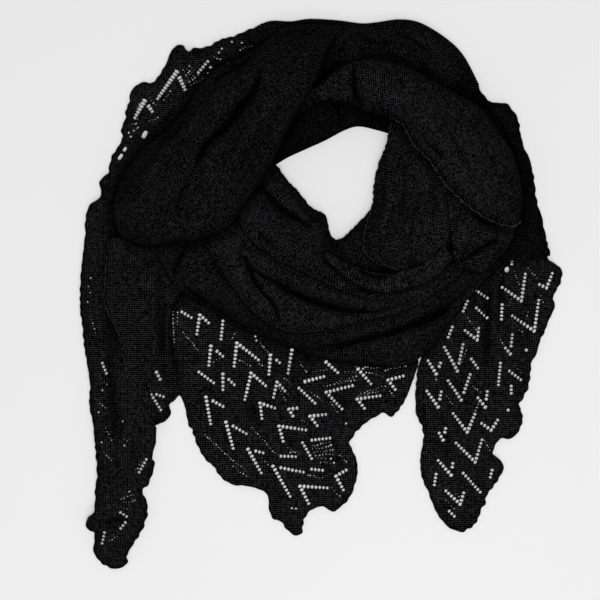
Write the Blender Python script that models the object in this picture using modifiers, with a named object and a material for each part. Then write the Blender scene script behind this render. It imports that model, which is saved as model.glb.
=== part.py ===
"""A triangle scarf of fine black knit with a lace border, wound into a loop and laid flat on a surface.

Metres, +Z up. The origin is under the middle of the scarf, on the surface it lies on. +Y runs from the two
tails and the lace point up to the back of the neck, and +X to the right.

Each stretch of cloth that shows is one wall, lofted through a short table of sections from its left edge to its
right edge. The tables read along the stretch, in picture units: x to the right and y down, as the scarf lies,
with heights in millimetres. Stretches are made from the lowest to the highest, and each rests on those below.
"""

import math
from collections import namedtuple

import bmesh
import bpy
import numpy as np
from mathutils import Matrix, Vector
from mathutils.bvhtree import BVHTree

SCARF_WIDTH = 0.578
WIDTH_IN_UNITS = 482
UNIT = SCARF_WIDTH / WIDTH_IN_UNITS
MIDDLE_X = 321.5
MIDDLE_Y = 293.5

MM = 0.001
WALL = 2.0 * MM
SEAT_GAP = 0.5 * MM
REACH = 11.0 * MM
ROUNDNESS = 2.4
EDGE_CROWDING = 0.6
HEM_DEPTH = 11.0 * MM
FOLD_FADE = 0.18
EYELET = 3.6
EYELET_SIDES = 8
CUTTER_DEPTH = 120.0 * MM

CORE_MIDDLE = (336, 184)
CORE_SPOKES = 54
CORE_RINGS = 13
CORE_LEAST_ROOM = 8.5 * MM
CORE_MARGIN = 7.0 * MM
CORE_PROBE = 2.5 * MM
CORE_REACH = 0.34
CORE_BRIDGE = 12.0 * MM
CORE_CLEAR = 0.9 * MM
CORE_EASING = 4
CORE_TRIES = 16
CORE_SHARES = (0.25, 0.5, 0.75, 1)

KNIT_BLACK = (0.012, 0.012, 0.013)
LACE_BLACK = (0.010, 0.010, 0.011)
SHADE_BLACK = (0.006, 0.006, 0.007)
KNIT_ROUGHNESS = 0.85

Section = namedtuple("Section", "left_x left_y right_x right_y bow left_z right_z crown")
Fold = namedtuple("Fold", "path depth width")
Opening = namedtuple("Opening", "x y width length turn", defaults=(EYELET, EYELET, 0))

LEFT_TAIL = [
    Section(90, 214, 146, 220, 0, 2, 9, 3),
    Section(86, 236, 146, 240, 0, 3, 9, 6),
    Section(83, 262, 146, 264, 0, 3, 8, 8),
    Section(81, 298, 144, 300, 0, 3, 7, 9),
    Section(84, 335, 146, 335, 0, 3, 6, 10),
    Section(88, 367, 149, 367, 0, 3, 5, 11),
    Section(91, 388, 151, 394, 0, 3, 4, 12),
    Section(92, 411.5, 158, 421.5, 0, 3, 3, 12),
    Section(95, 442, 156, 441, 0, 3, 3, 13),
    Section(97, 462, 154, 461, 0, 3, 3, 13),
    Section(97, 484, 150, 481, 0, 3, 3, 13),
    Section(95, 503.5, 142, 490.5, 0, 3, 3, 12),
    Section(86, 521.5, 148, 505.5, 0, 3, 3, 12),
    Section(95, 533.5, 144, 525.5, 0, 3, 3, 11),
    Section(95, 549.5, 132, 543.5, 0, 3, 3, 9),
    Section(102, 560.5, 128, 556.5, 0, 3, 3, 6),
    Section(109, 566, 124, 565, 0, 3, 3, 2),
]
LEFT_TAIL_FOLDS = [
    Fold([(112, 290), (110, 360), (116, 430), (120, 488)], 8, 7),
    Fold([(136, 430), (134, 460), (128, 486)], 4, 5),
    Fold([(100, 508), (118, 504), (138, 502)], -3, 5),
    Fold([(96, 526), (116, 520), (138, 518)], 6, 5),
]

CENTRE_PANEL = [
    Section(174, 292, 420, 356, 4, 5, 5, 0),
    Section(175, 330, 416.5, 378.5, 10, 4, 4, 1),
    Section(176.5, 378, 405.5, 398, 14, 2, 3, 3),
    Section(185.5, 408, 390.5, 415, 18, 2, 2, 3),
    Section(194.5, 434, 360.5, 422, 18, 2, 2, 3),
    Section(206.5, 458, 351.5, 441, 14, 2, 3, 3),
    Section(226.5, 480, 356.5, 470, 10, 2, 2, 3),
    Section(256.5, 486, 349.5, 493, 6, 3, 3, 2),
    Section(270.5, 499.5, 336.5, 511.5, 2, 2, 2, 2),
    Section(273.5, 517.5, 311.5, 507.5, 2, 3, 3, 1),
    Section(284.5, 526.5, 302.5, 520.5, 1, 2, 2, 1),
    Section(291.5, 533.5, 300.5, 531.5, 0, 2, 2, 0),
]
CENTRE_PANEL_FOLDS = [
    Fold([(292, 345), (284, 385), (282, 440)], -5, 12),
    Fold([(350, 372), (330, 405), (322, 450)], -5, 11),
    Fold([(222, 345), (236, 400), (262, 460)], -4, 12),
    Fold([(398, 366), (376, 388), (352, 402)], -4, 9),
]

CENTRE_PANEL_OPENINGS = [
    Opening(200, 315),
    Opening(211, 346),
    Opening(237, 343),
    Opening(256, 337),
    Opening(270, 356),
    Opening(292, 350),
    Opening(223, 374),
    Opening(251, 373),
    Opening(277, 382),
    Opening(206, 397),
    Opening(260, 403),
    Opening(226, 422),
    Opening(279, 426),
    Opening(310, 416),
    Opening(248, 449),
    Opening(273, 466),
    Opening(300, 486),
    Opening(326, 362),
    Opening(326, 392),
    Opening(358, 369),
    Opening(357, 399),
    Opening(388, 380),
    Opening(336, 476),
]

RIGHT_TAIL = [
    Section(478, 262, 544.5, 239.5, 0, 12, 5, 3),
    Section(458, 288, 559.5, 271.5, 0, 9, 2, 4),
    Section(440, 320, 553.5, 296.5, 0, 8, 2, 5),
    Section(424, 352, 544.5, 335, 0, 5, 2, 5),
    Section(415.5, 384.5, 530.5, 364.5, 0, 3, 3, 5),
    Section(416.5, 410, 519.5, 401, 0, 2, 2, 5),
    Section(423.5, 438, 518.5, 430, 0, 2, 2, 5),
    Section(421.5, 462.5, 494.5, 445.5, 0, 3, 3, 4),
    Section(426.5, 483.5, 502.5, 463.5, 0, 2, 2, 4),
    Section(435.5, 505.5, 486.5, 494.5, 0, 2, 2, 3),
    Section(445.5, 519.5, 477.5, 512.5, 0, 2, 2, 2),
    Section(458.5, 528.5, 470.5, 525.5, 0, 2, 2, 0),
]
RIGHT_TAIL_FOLDS = [
    Fold([(500, 262), (495, 300), (490, 350), (487, 405)], 8, 6),
    Fold([(520, 280), (512, 330), (505, 385)], -4, 8),
    Fold([(468, 310), (458, 370), (456, 440)], -4, 9),
]

RIGHT_TAIL_OPENINGS = [
    Opening(506, 270, 4.6, 6, -15),
    Opening(521, 301),
    Opening(546, 288),
    Opening(534, 331),
    Opening(510, 354),
    Opening(477, 340),
    Opening(457, 371),
    Opening(436, 374),
    Opening(461, 400),
    Opening(438, 407),
    Opening(485, 407),
    Opening(467, 432),
    Opening(491, 430),
    Opening(443, 440),
    Opening(475, 462),
    Opening(451, 475),
    Opening(460, 504),
]

LEFT_LACE = [
    Section(86, 226, 124, 230, 0, 4, 12, 2),
    Section(89, 207, 126, 208, 0, 3, 13, 2),
    Section(102, 193, 130, 192, 0, 4, 13, 2),
    Section(99, 182, 136, 178, 0, 2, 13, 3),
    Section(110, 166, 144, 163, 0, 3, 13, 2),
    Section(117, 149, 155, 149, 0, 2, 13, 3),
    Section(124, 139, 164, 140, 0, 4, 13, 2),
    Section(122, 127, 174, 128, 0, 2, 13, 3),
    Section(128, 105, 188, 110, 0, 3, 13, 3),
    Section(138, 85.5, 198, 98, 0, 2, 13, 3),
    Section(152, 83.5, 206, 92, 0, 4, 13, 2),
    Section(168.5, 61, 216, 84, 0, 2, 13, 3),
    Section(178.5, 45, 226, 78, 0, 3, 13, 3),
    Section(186.5, 52, 234, 76, 0, 4, 13, 2),
    Section(200.5, 47, 242, 74, 0, 2, 13, 3),
    Section(220.5, 39.5, 252, 72, 0, 3, 13, 3),
    Section(236, 35.5, 262, 70, 0, 2, 14, 3),
    Section(261.5, 25.5, 280, 68, 0, 3, 14, 4),
]
INNER_WRAP_OPENINGS = [
    Opening(396, 141.5, 6, 9),
]
LEFT_LACE_OPENINGS = [
    Opening(145, 134, 5, 8, 30),
    Opening(121, 157, 4, 7, 35),
    Opening(125, 149, 4, 5, 35),
    Opening(176, 73),
    Opening(145, 101),
]

RIGHT_OUTER = [
    Section(446, 104, 469, 70.5, 0, 18, 3, 3),
    Section(462, 116, 486.5, 100, 0, 18, 3, 4),
    Section(472, 128, 506.5, 105, 0, 18, 4, 6),
    Section(482, 142, 517.5, 121, 0, 18, 4, 6),
    Section(490, 158, 520.5, 139, 0, 18, 3, 5),
    Section(496, 178, 531.5, 169.5, 0, 18, 3, 5),
    Section(496, 200, 535.5, 198, 0, 17, 3, 5),
    Section(492, 222, 541.5, 220, 0, 16, 3, 5),
    Section(484, 244, 545.5, 240, 0, 15, 4, 5),
    Section(476, 266, 549.5, 256, 0, 15, 6, 4),
]

BACK_BAND = [
    Section(247.5, 32.5, 264, 72, 0, 5, 16, 4),
    Section(268.5, 21.5, 282, 76, 0, 3, 20, 8),
    Section(291, 21.5, 300, 84, 0, 3, 24, 10),
    Section(310, 19, 318, 94, 0, 3, 26, 10),
    Section(338, 20.5, 336, 90, 0, 3, 26, 10),
    Section(361, 23.5, 354, 80, 0, 3, 25, 10),
    Section(376, 22.5, 372, 76, 0, 3, 24, 10),
    Section(400, 19.5, 392, 78, 0, 3, 24, 10),
    Section(421.5, 23.5, 408, 84, 0, 3, 23, 10),
    Section(447.5, 39.5, 424, 92, 0, 3, 22, 9),
    Section(464, 56.5, 436, 102, 0, 3, 22, 8),
    Section(479, 85, 452, 114, 0, 4, 22, 5),
]
BACK_BAND_FOLDS = [
    Fold([(312, 86), (320, 62), (330, 40)], 6, 6),
    Fold([(322, 88), (336, 64), (346, 42)], 5, 6),
    Fold([(334, 80), (348, 64), (364, 48)], 5, 6),
    Fold([(392, 28), (412, 52), (434, 84)], 6, 8),
]

LEFT_DROP = [
    Section(112, 238, 190, 244, 0, 17, 13, 5),
    Section(107, 268, 186, 270, 0, 16, 10, 6),
    Section(105, 298, 180, 297, 0, 15, 7, 7),
    Section(112, 320, 178, 320, 0, 15, 6, 7),
    Section(121, 343, 179, 345, 0, 15, 5, 7),
    Section(126, 368, 181, 368, 0, 14, 4, 6),
    Section(136, 387, 180, 389, 0, 12, 3, 5),
    Section(146, 403, 171, 401, 0, 10, 3, 3),
    Section(155, 421, 166, 417, 0, 8, 3, 1),
]
LEFT_DROP_FOLDS = [
    Fold([(136, 252), (134, 290), (140, 340), (148, 380)], 8, 7),
    Fold([(162, 250), (160, 290), (162, 340), (164, 380)], 7, 6),
]

LOWER_FOLD = [
    Section(206, 226, 152, 236, 0, 24, 20, 4),
    Section(214, 252, 163, 264, 0, 22, 14, 7),
    Section(226, 274, 177, 287, 0, 21, 9, 9),
    Section(242, 296, 203, 304, 0, 20, 7, 9),
    Section(262, 314, 234, 324, 0, 20, 7, 8),
    Section(286, 326, 268, 338, 0, 20, 7, 8),
    Section(312, 326, 302, 352, 0, 20, 7, 9),
    Section(338, 321, 334, 360, 0, 20, 7, 10),
    Section(364, 313, 368, 364, 0, 20, 7, 10),
    Section(392, 305, 404, 366, 0, 20, 8, 10),
    Section(420, 292, 428, 350, 0, 20, 10, 9),
    Section(444, 273, 450, 320, 0, 20, 11, 8),
    Section(462, 258, 474, 292, 0, 20, 12, 7),
    Section(480, 244, 500, 264, 0, 20, 13, 5),
]
LOWER_FOLD_FOLDS = [
    Fold([(306, 350), (365, 338), (420, 322), (455, 300), (482, 268)], 9, 7),
    Fold([(198, 276), (214, 285), (232, 283)], 4, 5),
    Fold([(196, 248), (203, 258), (206, 272)], 3, 5),
]

MIDDLE_FOLD = [
    Section(238, 196, 198, 232, 0, 28, 24, 4),
    Section(245, 222, 212, 254, 0, 27, 24, 7),
    Section(254, 240, 226, 276, 0, 26, 23, 9),
    Section(274, 253, 242, 299, 0, 26, 22, 11),
    Section(299, 264, 262, 319, 0, 26, 22, 12),
    Section(322, 275, 290, 332, 0, 26, 22, 12),
    Section(345, 286, 326, 330, 0, 26, 22, 11),
    Section(370, 292, 358, 322, 0, 26, 22, 9),
    Section(395, 290, 392, 314, 0, 27, 22, 7),
    Section(418, 280, 421, 302, 0, 28, 22, 6),
    Section(438, 262, 446, 284, 0, 29, 22, 5),
    Section(448, 246, 464, 269, 0, 30, 23, 3),
]
MIDDLE_FOLD_FOLDS = [
    Fold([(234, 240), (248, 262), (268, 280), (305, 299), (350, 308), (395, 310)], 8, 6),
    Fold([(240, 256), (250, 274), (262, 292), (276, 314)], 6, 6),
]

INNER_FOLD = [
    Section(266, 156, 226, 200, 0, 26, 30, 4),
    Section(277, 167, 238, 218, 0, 16, 30, 7),
    Section(286, 180, 245, 232, 0, 10, 30, 9),
    Section(297, 191, 257, 246, 0, 8, 30, 10),
    Section(311, 208, 276, 259, 0, 8, 30, 10),
    Section(325, 216, 298, 270, 0, 8, 30, 10),
    Section(330, 235, 321, 281, 0, 8, 30, 9),
    Section(340, 240, 346, 292, 0, 8, 30, 9),
    Section(358, 224, 372, 299, 0, 8, 30, 7),
    Section(373, 208, 396, 298, 0, 9, 31, 4),
]
INNER_FOLD_FOLDS = [
    Fold([(262, 190), (280, 212), (300, 224), (314, 234)], 8, 6),
]

NECK_EDGE = [
    Section(270, 126, 270, 170, 0, 24, 18, 4),
    Section(292, 100, 286, 159, 0, 28, 10, 6),
    Section(308, 88, 305, 150, 0, 30, 8, 7),
    Section(324, 86, 325, 141, 0, 30, 8, 7),
    Section(344, 90, 345, 130.5, 0, 29, 8, 6),
    Section(362, 96, 359, 127, 0, 28, 8, 5),
    Section(380, 102, 376, 130.5, 0, 27, 9, 4),
    Section(402, 108, 391, 135, 0, 26, 14, 3),
]

INNER_WRAP = [
    Section(391, 124, 424, 126, 0, 26, 30, 1),
    Section(388, 136, 428, 142, 0, 20, 30, 3),
    Section(385, 149, 438, 162, 0, 15, 31, 5),
    Section(379, 164, 450, 184, 0, 10, 32, 8),
    Section(374, 186, 460, 200, 0, 9, 32, 10),
    Section(373, 203, 466, 218, 0, 12, 32, 11),
    Section(368, 219, 464, 238, 0, 16, 32, 11),
    Section(364, 236, 455, 256, 0, 18, 32, 10),
    Section(364, 252, 441, 270, 0, 22, 32, 6),
    Section(380, 266, 424, 278, 0, 31, 33, 3),
]
INNER_WRAP_FOLDS = [
    Fold([(398, 150), (404, 180), (400, 215), (388, 245)], 5, 6),
    Fold([(426, 172), (434, 205), (424, 240)], 4, 7),
]

HOOK_FOLD = [
    Section(326, 252, 324, 257, 0, 32, 34, 0),
    Section(347, 263, 343, 276, 0, 33, 34, 4),
    Section(368, 271, 364, 288, 0, 34, 34, 5),
    Section(388, 274, 388, 293, 0, 35, 34, 5),
    Section(402, 270, 408, 287, 0, 35, 34, 4),
    Section(410, 262, 422, 274, 0, 35, 34, 1),
]

RIGHT_JUNCTION = [
    Section(446, 196, 514, 208, 0, 34, 22, 3),
    Section(448, 214, 515, 224, 0, 34, 20, 7),
    Section(450, 234, 511, 242, 0, 33, 19, 9),
    Section(452, 252, 499, 257, 0, 32, 19, 7),
    Section(456, 268, 482, 274, 0, 28, 20, 3),
]
RIGHT_JUNCTION_FOLDS = [
    Fold([(466, 206), (458, 222), (456, 246)], 5, 5),
    Fold([(474, 244), (490, 236), (502, 240), (486, 256)], -3, 5),
]

RIGHT_LOBE = [
    Section(324, 102, 314, 91, 0, 34, 34, 1),
    Section(338, 103, 327, 79, 0, 33, 31, 7),
    Section(352, 106, 343, 67, 0, 32, 30, 12),
    Section(366, 113, 362, 61, 0, 32, 29, 16),
    Section(386, 118, 385, 62, 0, 32, 28, 19),
    Section(402, 126, 405, 67, 0, 34, 28, 20),
    Section(413, 146, 428, 79, 0, 36, 27, 20),
    Section(429, 162, 455, 94, 0, 37, 26, 20),
    Section(446, 187, 480, 110, 0, 38, 25, 20),
    Section(466, 206, 497, 131, 0, 38, 24, 19),
    Section(484, 218, 511, 153, 0, 36, 23, 17),
    Section(500, 225, 519, 178, 0, 32, 22, 13),
    Section(512, 227, 521, 198, 0, 28, 22, 7),
    Section(519, 222, 521, 212, 0, 25, 23, 1),
]
RIGHT_LOBE_FOLDS = [
    Fold([(343, 78), (357, 97), (374, 114)], 9, 7),
    Fold([(392, 68), (402, 92), (404, 118)], 6, 8),
    Fold([(418, 92), (440, 120), (462, 160), (480, 204)], 7, 8),
    Fold([(446, 100), (478, 138), (502, 190)], 6, 7),
]

LEFT_LOBE = [
    Section(274, 37, 331, 34, -4, 16, 20, 2),
    Section(256, 49, 327, 52, -2, 19, 26, 11),
    Section(235, 61, 318, 77, 0, 19, 32, 19),
    Section(212, 71, 304, 103, 0, 18, 33, 24),
    Section(190, 88, 290, 128, 0, 17, 34, 26),
    Section(171, 111, 277, 154, 0, 17, 34, 27),
    Section(154, 131, 262, 181, 0, 17, 35, 27),
    Section(136, 151, 245, 206, 0, 17, 36, 27),
    Section(123, 177, 229, 228, 0, 17, 36, 26),
    Section(115, 200, 204, 239, 0, 18, 34, 22),
    Section(114, 217, 178, 243, 2, 20, 30, 15),
    Section(120, 233, 156, 246, 2, 22, 25, 7),
    Section(131, 243, 143, 247, 0, 22, 22, 1),
]
LEFT_LOBE_FOLDS = [
    Fold([(262, 66), (250, 101), (208, 142), (188, 178), (172, 214)], 17, 8),
    Fold([(240, 74), (212, 86), (186, 108)], 6, 7),
    Fold([(300, 84), (272, 128), (246, 176)], 5, 8),
]

# The gaps of over 4 mm in each stretch of lace.
OPENINGS = {
    "centre_lace_panel": CENTRE_PANEL_OPENINGS,
    "right_tail": RIGHT_TAIL_OPENINGS,
    "left_lace_edge": LEFT_LACE_OPENINGS,
    "right_inner_wrap": INNER_WRAP_OPENINGS,
}

# Name, sections, folds, steps along, steps across, hem wave at the left and right edge in mm, colour.
STRETCHES = [
    ("left_tail", LEFT_TAIL, LEFT_TAIL_FOLDS, 32, 6, 0, 0, KNIT_BLACK),
    ("centre_lace_panel", CENTRE_PANEL, CENTRE_PANEL_FOLDS, 22, 12, 4, 4, LACE_BLACK),
    ("right_tail", RIGHT_TAIL, RIGHT_TAIL_FOLDS, 24, 8, 4, 4, LACE_BLACK),
    ("left_lace_edge", LEFT_LACE, [], 34, 3, 4, 0, LACE_BLACK),
    ("back_neck_band", BACK_BAND, BACK_BAND_FOLDS, 26, 6, 0, 0, KNIT_BLACK),
    ("right_outer_layer", RIGHT_OUTER, [], 18, 4, 0, 2, SHADE_BLACK),
    ("left_drop", LEFT_DROP, LEFT_DROP_FOLDS, 16, 8, 2, 0, KNIT_BLACK),
    ("cowl_lower_fold", LOWER_FOLD, LOWER_FOLD_FOLDS, 28, 7, 0, 0, KNIT_BLACK),
    ("cowl_middle_fold", MIDDLE_FOLD, MIDDLE_FOLD_FOLDS, 26, 7, 0, 0, KNIT_BLACK),
    ("cowl_inner_fold", INNER_FOLD, INNER_FOLD_FOLDS, 20, 6, 0, 0, KNIT_BLACK),
    ("neck_edge_fold", NECK_EDGE, [], 14, 5, 0, 0, SHADE_BLACK),
    ("right_inner_wrap", INNER_WRAP, INNER_WRAP_FOLDS, 16, 8, 0, 0, KNIT_BLACK),
    ("neck_hook_fold", HOOK_FOLD, [], 12, 4, 0, 0, KNIT_BLACK),
    ("right_junction", RIGHT_JUNCTION, RIGHT_JUNCTION_FOLDS, 10, 7, 0, 0, KNIT_BLACK),
    ("right_lobe", RIGHT_LOBE, RIGHT_LOBE_FOLDS, 26, 9, 2, 0, KNIT_BLACK),
    ("left_lobe", LEFT_LOBE, LEFT_LOBE_FOLDS, 24, 11, 0, 0, KNIT_BLACK),
]


def clear_scene():
    for obj in list(bpy.data.objects):
        bpy.data.objects.remove(obj, do_unlink=True)


def new_collection(name):
    collection = bpy.data.collections.new(name)
    bpy.context.scene.collection.children.link(collection)
    return collection


def new_material(name, colour):
    material = bpy.data.materials.new(name)
    material.use_nodes = True
    shader = material.node_tree.nodes["Principled BSDF"]
    shader.inputs["Base Color"].default_value = (*colour, 1)
    shader.inputs["Roughness"].default_value = KNIT_ROUGHNESS
    shader.inputs["Metallic"].default_value = 0
    return material


def place(x, y):
    """Metres from picture units."""
    return (x - MIDDLE_X) * UNIT, (MIDDLE_Y - y) * UNIT


def between(rows, t):
    """A smooth curve through the rows of a table, with t from 0 at the first row to 1 at the last."""
    last = len(rows) - 1
    i = min(int(t * last), last - 1)
    f = t * last - i
    before, start, end, after = rows[max(i - 1, 0)], rows[i], rows[i + 1], rows[min(i + 2, last)]
    bend = 2 * before - 5 * start + 4 * end - after
    twist = 3 * start - before - 3 * end + after
    return 0.5 * (2 * start + (end - before) * f + bend * f**2 + twist * f**3)


def off_path(point, path):
    """Distance in metres from a point to a fold's line, and the place along it from 0 to 1."""
    nearest, along = math.inf, 0.0
    pieces = len(path) - 1
    for i in range(pieces):
        run = path[i + 1] - path[i]
        part = min(max((point - path[i]).dot(run) / run.length_squared, 0), 1)
        distance = (point - path[i] - run * part).length
        if distance < nearest:
            nearest, along = distance, (i + part) / pieces
    return nearest, along


def fold_height(point, folds):
    """What all folds of a stretch add at a point: creases are below zero and ridges above."""
    height = 0.0
    for path, depth, width in folds:
        distance, along = off_path(point, path)
        fade = min(1, along / FOLD_FADE, (1 - along) / FOLD_FADE)
        height -= depth * math.exp(-((distance / width) ** 2)) * max(fade, 0.25)
    return height


def placed_folds(folds):
    return [
        ([Vector(place(x, y)) for x, y in fold.path], fold.depth * MM, fold.width * MM * 1.2)
        for fold in folds
    ]


def crown_shape(v):
    """Rises steeply from 0 at both edges to 1 in the middle."""
    return (1 - abs(2 * v - 1) ** ROUNDNESS) ** (1 / ROUNDNESS)


def surface_points(sections, folds, along, across, left_wave, right_wave):
    """The outer face of a stretch, as rows of points."""
    table = np.array(sections, dtype=float)
    folds = placed_folds(folds)
    waves = len(sections) - 1
    grid = []
    for i in range(along + 1):
        row = Section(*between(table, i / along))
        left, right = Vector(place(row.left_x, row.left_y)), Vector(place(row.right_x, row.right_y))
        side = right - left
        ahead = Vector((side.y, -side.x)).normalized() * row.bow * UNIT
        swing = 0.5 - 0.5 * math.cos(math.pi * waves * i / along)
        line = []
        for j in range(across + 1):
            even = j / across
            v = even + (0.5 - 0.5 * math.cos(math.pi * even) - even) * EDGE_CROWDING
            spot = left + side * v + ahead * 4 * v * (1 - v)
            z = row.left_z + (row.right_z - row.left_z) * v + row.crown * crown_shape(v)
            hem = left_wave * math.exp(-v * side.length / HEM_DEPTH)
            hem += right_wave * math.exp((v - 1) * side.length / HEM_DEPTH)
            ease = min(1, 8 * v * (1 - v) + 0.15)
            z = z * MM + hem * swing * MM + fold_height(spot, folds) * ease
            line.append(Vector((spot.x, spot.y, max(z, WALL))))
        grid.append(line)
    return grid


def highest_below(x, y, lower):
    """The highest point of the finished stretches near a place, or nothing."""
    highest = None
    ring = [(REACH * math.cos(a), REACH * math.sin(a)) for a in np.linspace(0, math.tau, 8, endpoint=False)]
    for dx, dy in [(0, 0), *ring]:
        for tree in lower:
            hit = tree.ray_cast(Vector((x + dx, y + dy, 1)), Vector((0, 0, -1)))[0]
            if hit and (highest is None or hit.z > highest):
                highest = hit.z
    return highest


def rest_on(grid, lower):
    """Lifts the points of a stretch clear of the stretches that it lies on."""
    for line in grid:
        for point in line:
            top = highest_below(point.x, point.y, lower)
            if top is not None:
                point.z = max(point.z, top + WALL + SEAT_GAP)


def mesh_object(name, points, faces, collection, colour):
    mesh = bpy.data.meshes.new(name)
    mesh.from_pydata(points, [], faces)
    obj = bpy.data.objects.new(name, mesh)
    collection.objects.link(obj)
    mesh.materials.append(new_material(name + "_knit", colour))
    mesh.shade_smooth()
    return obj


def cloth_wall(name, grid, collection, colour):
    """An open surface through the grid, given its thickness on the underside."""
    across = len(grid[0])
    faces = []
    for i in range(len(grid) - 1):
        for j in range(across - 1):
            a = i * across + j
            faces.append((a, a + 1, a + across + 1, a + across))
    obj = mesh_object(name, [p for line in grid for p in line], faces, collection, colour)
    face_up(obj.data)
    wall = obj.modifiers.new("wall", "SOLIDIFY")
    wall.thickness = WALL
    wall.offset = -1
    wall.use_even_offset = False
    return obj


def face_up(mesh):
    surface = bmesh.new()
    surface.from_mesh(mesh)
    if sum(face.normal.z * face.calc_area() for face in surface.faces) < 0:
        bmesh.ops.reverse_faces(surface, faces=surface.faces)
    surface.to_mesh(mesh)
    surface.free()


def opening_cutter(name, openings, collection):
    """One mesh with a prism for each gap, long enough to pass right through the cloth."""
    prisms = bmesh.new()
    for gap in openings:
        spot = Matrix.Translation((*place(gap.x, gap.y), 0)) @ Matrix.Rotation(-math.radians(gap.turn), 4, "Z")
        size = Matrix.Diagonal((gap.width * UNIT, gap.length * UNIT, 1, 1))
        bmesh.ops.create_cone(
            prisms,
            cap_ends=True,
            segments=EYELET_SIDES,
            radius1=0.5,
            radius2=0.5,
            depth=CUTTER_DEPTH,
            matrix=spot @ size,
        )
    mesh = bpy.data.meshes.new(name)
    prisms.to_mesh(mesh)
    prisms.free()
    cutter = bpy.data.objects.new(name, mesh)
    collection.objects.link(cutter)
    cutter.hide_render = True
    cutter.display_type = "WIRE"
    return cutter


def cut_openings(obj, openings, collection):
    """Cuts the lace's gaps right through."""
    cut = obj.modifiers.new("gaps", "BOOLEAN")
    cut.operation = "DIFFERENCE"
    cut.solver = "EXACT"
    cut.object = opening_cutter(obj.name + "_gaps", openings, collection)


def tree_of(obj):
    bpy.context.view_layer.update()
    return BVHTree.FromObject(obj, bpy.context.evaluated_depsgraph_get())


def joined_tree(objects):
    """All walls as one thing to look up at."""
    graph = bpy.context.evaluated_depsgraph_get()
    points, faces = [], []
    for obj in objects:
        mesh = obj.evaluated_get(graph).data
        first = len(points)
        points.extend(obj.matrix_world @ vertex.co for vertex in mesh.vertices)
        faces.extend([first + corner for corner in polygon.vertices] for polygon in mesh.polygons)
    return BVHTree.FromPolygons(points, faces)


def room_above(x, y, walls):
    """The height of the lowest underside over a place on the floor, or 0 where nothing is over it."""
    hit = walls.ray_cast(Vector((x, y, -0.01)), Vector((0, 0, 1)))[0]
    return hit.z if hit else 0.0


def spoke_span(angle, walls):
    """Where the heap is high enough for hidden layers along one spoke: nearest and farthest radius."""
    middle = Vector(place(*CORE_MIDDLE))
    way = Vector((math.cos(angle), math.sin(angle)))
    inside, outside = None, None
    for radius in np.arange(0.02, CORE_REACH, CORE_PROBE):
        spot = middle + way * radius
        room = room_above(spot.x, spot.y, walls)
        if room >= CORE_LEAST_ROOM:
            inside = radius if inside is None else inside
            outside = radius
        elif inside is not None and (room > 0 or radius - outside > CORE_BRIDGE):
            break
    return inside + CORE_MARGIN, outside - CORE_MARGIN


def core_ring(walls):
    """Where the hidden layers begin and end on each spoke, eased towards the neighbouring spokes."""
    spokes = np.array([spoke_span(k * math.tau / CORE_SPOKES, walls) for k in range(CORE_SPOKES)])
    near, far = spokes[:, 0], spokes[:, 1]
    for _ in range(CORE_EASING):
        near = np.maximum(near, (np.roll(near, 1) + np.roll(near, -1)) / 2)
        far = np.minimum(far, (np.roll(far, 1) + np.roll(far, -1)) / 2)
    return near, far


def least_room(spot, walls, reach):
    """The least room above a place and all round it, out to the next points of the ring."""
    rooms = [room_above(spot.x, spot.y, walls)]
    for share in CORE_SHARES:
        for angle in np.linspace(0, math.tau, CORE_TRIES, endpoint=False):
            near = spot + reach * share * Vector((math.cos(angle), math.sin(angle)))
            rooms.append(room_above(near.x, near.y, walls))
    return min([room for room in rooms if room > 0], default=0.0)


def core_spots(walls):
    """The places of the ring's points on the floor, a row for each spoke."""
    middle = Vector(place(*CORE_MIDDLE))
    rows = []
    for k, (near, far) in enumerate(zip(*core_ring(walls))):
        way = Vector((math.cos(k * math.tau / CORE_SPOKES), math.sin(k * math.tau / CORE_SPOKES)))
        rows.append([middle + way * radius for radius in np.linspace(near, far, CORE_RINGS)])
    return rows


def hidden_folds(walls, collection):
    """The layers that don't show, as one rounded ring under the heap, flat where it rests."""
    rows = core_spots(walls)
    points, faces = [], []
    for k, row in enumerate(rows):
        beside = rows[k - 1], rows[(k + 1) % CORE_SPOKES]
        for j, spot in enumerate(row):
            ends = [side[i] for side in beside for i in (max(j - 1, 0), j, min(j + 1, CORE_RINGS - 1))]
            reach = max((end - spot).length for end in ends)
            top = least_room(spot, walls, reach) - CORE_CLEAR
            points.append((spot.x, spot.y, max(top, WALL)))
        points.append((*row[-1], 0))
        points.append((*row[0], 0))
    size = CORE_RINGS + 2
    for k in range(CORE_SPOKES):
        here, there = k * size, (k + 1) % CORE_SPOKES * size
        for j in range(size):
            ahead = (j + 1) % size
            faces.append((here + j, here + ahead, there + ahead, there + j))
    return mesh_object("hidden_folds", points, faces, collection, SHADE_BLACK)


def build():
    clear_scene()
    scarf = new_collection("triangle_scarf")
    cutters = new_collection("scarf_cutters")
    walls, finished = [], []
    for name, sections, folds, along, across, left_wave, right_wave, colour in STRETCHES:
        grid = surface_points(sections, folds, along, across, left_wave, right_wave)
        rest_on(grid, finished)
        walls.append(cloth_wall(name, grid, scarf, colour))
        finished.append(tree_of(walls[-1]))
        if name in OPENINGS:
            cut_openings(walls[-1], OPENINGS[name], cutters)
    hidden_folds(joined_tree(walls), scarf)


build()
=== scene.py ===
import math

import bpy
import numpy as np
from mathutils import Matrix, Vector, noise
from mathutils.bvhtree import BVHTree
from mathutils.geometry import delaunay_2d_cdt


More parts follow.
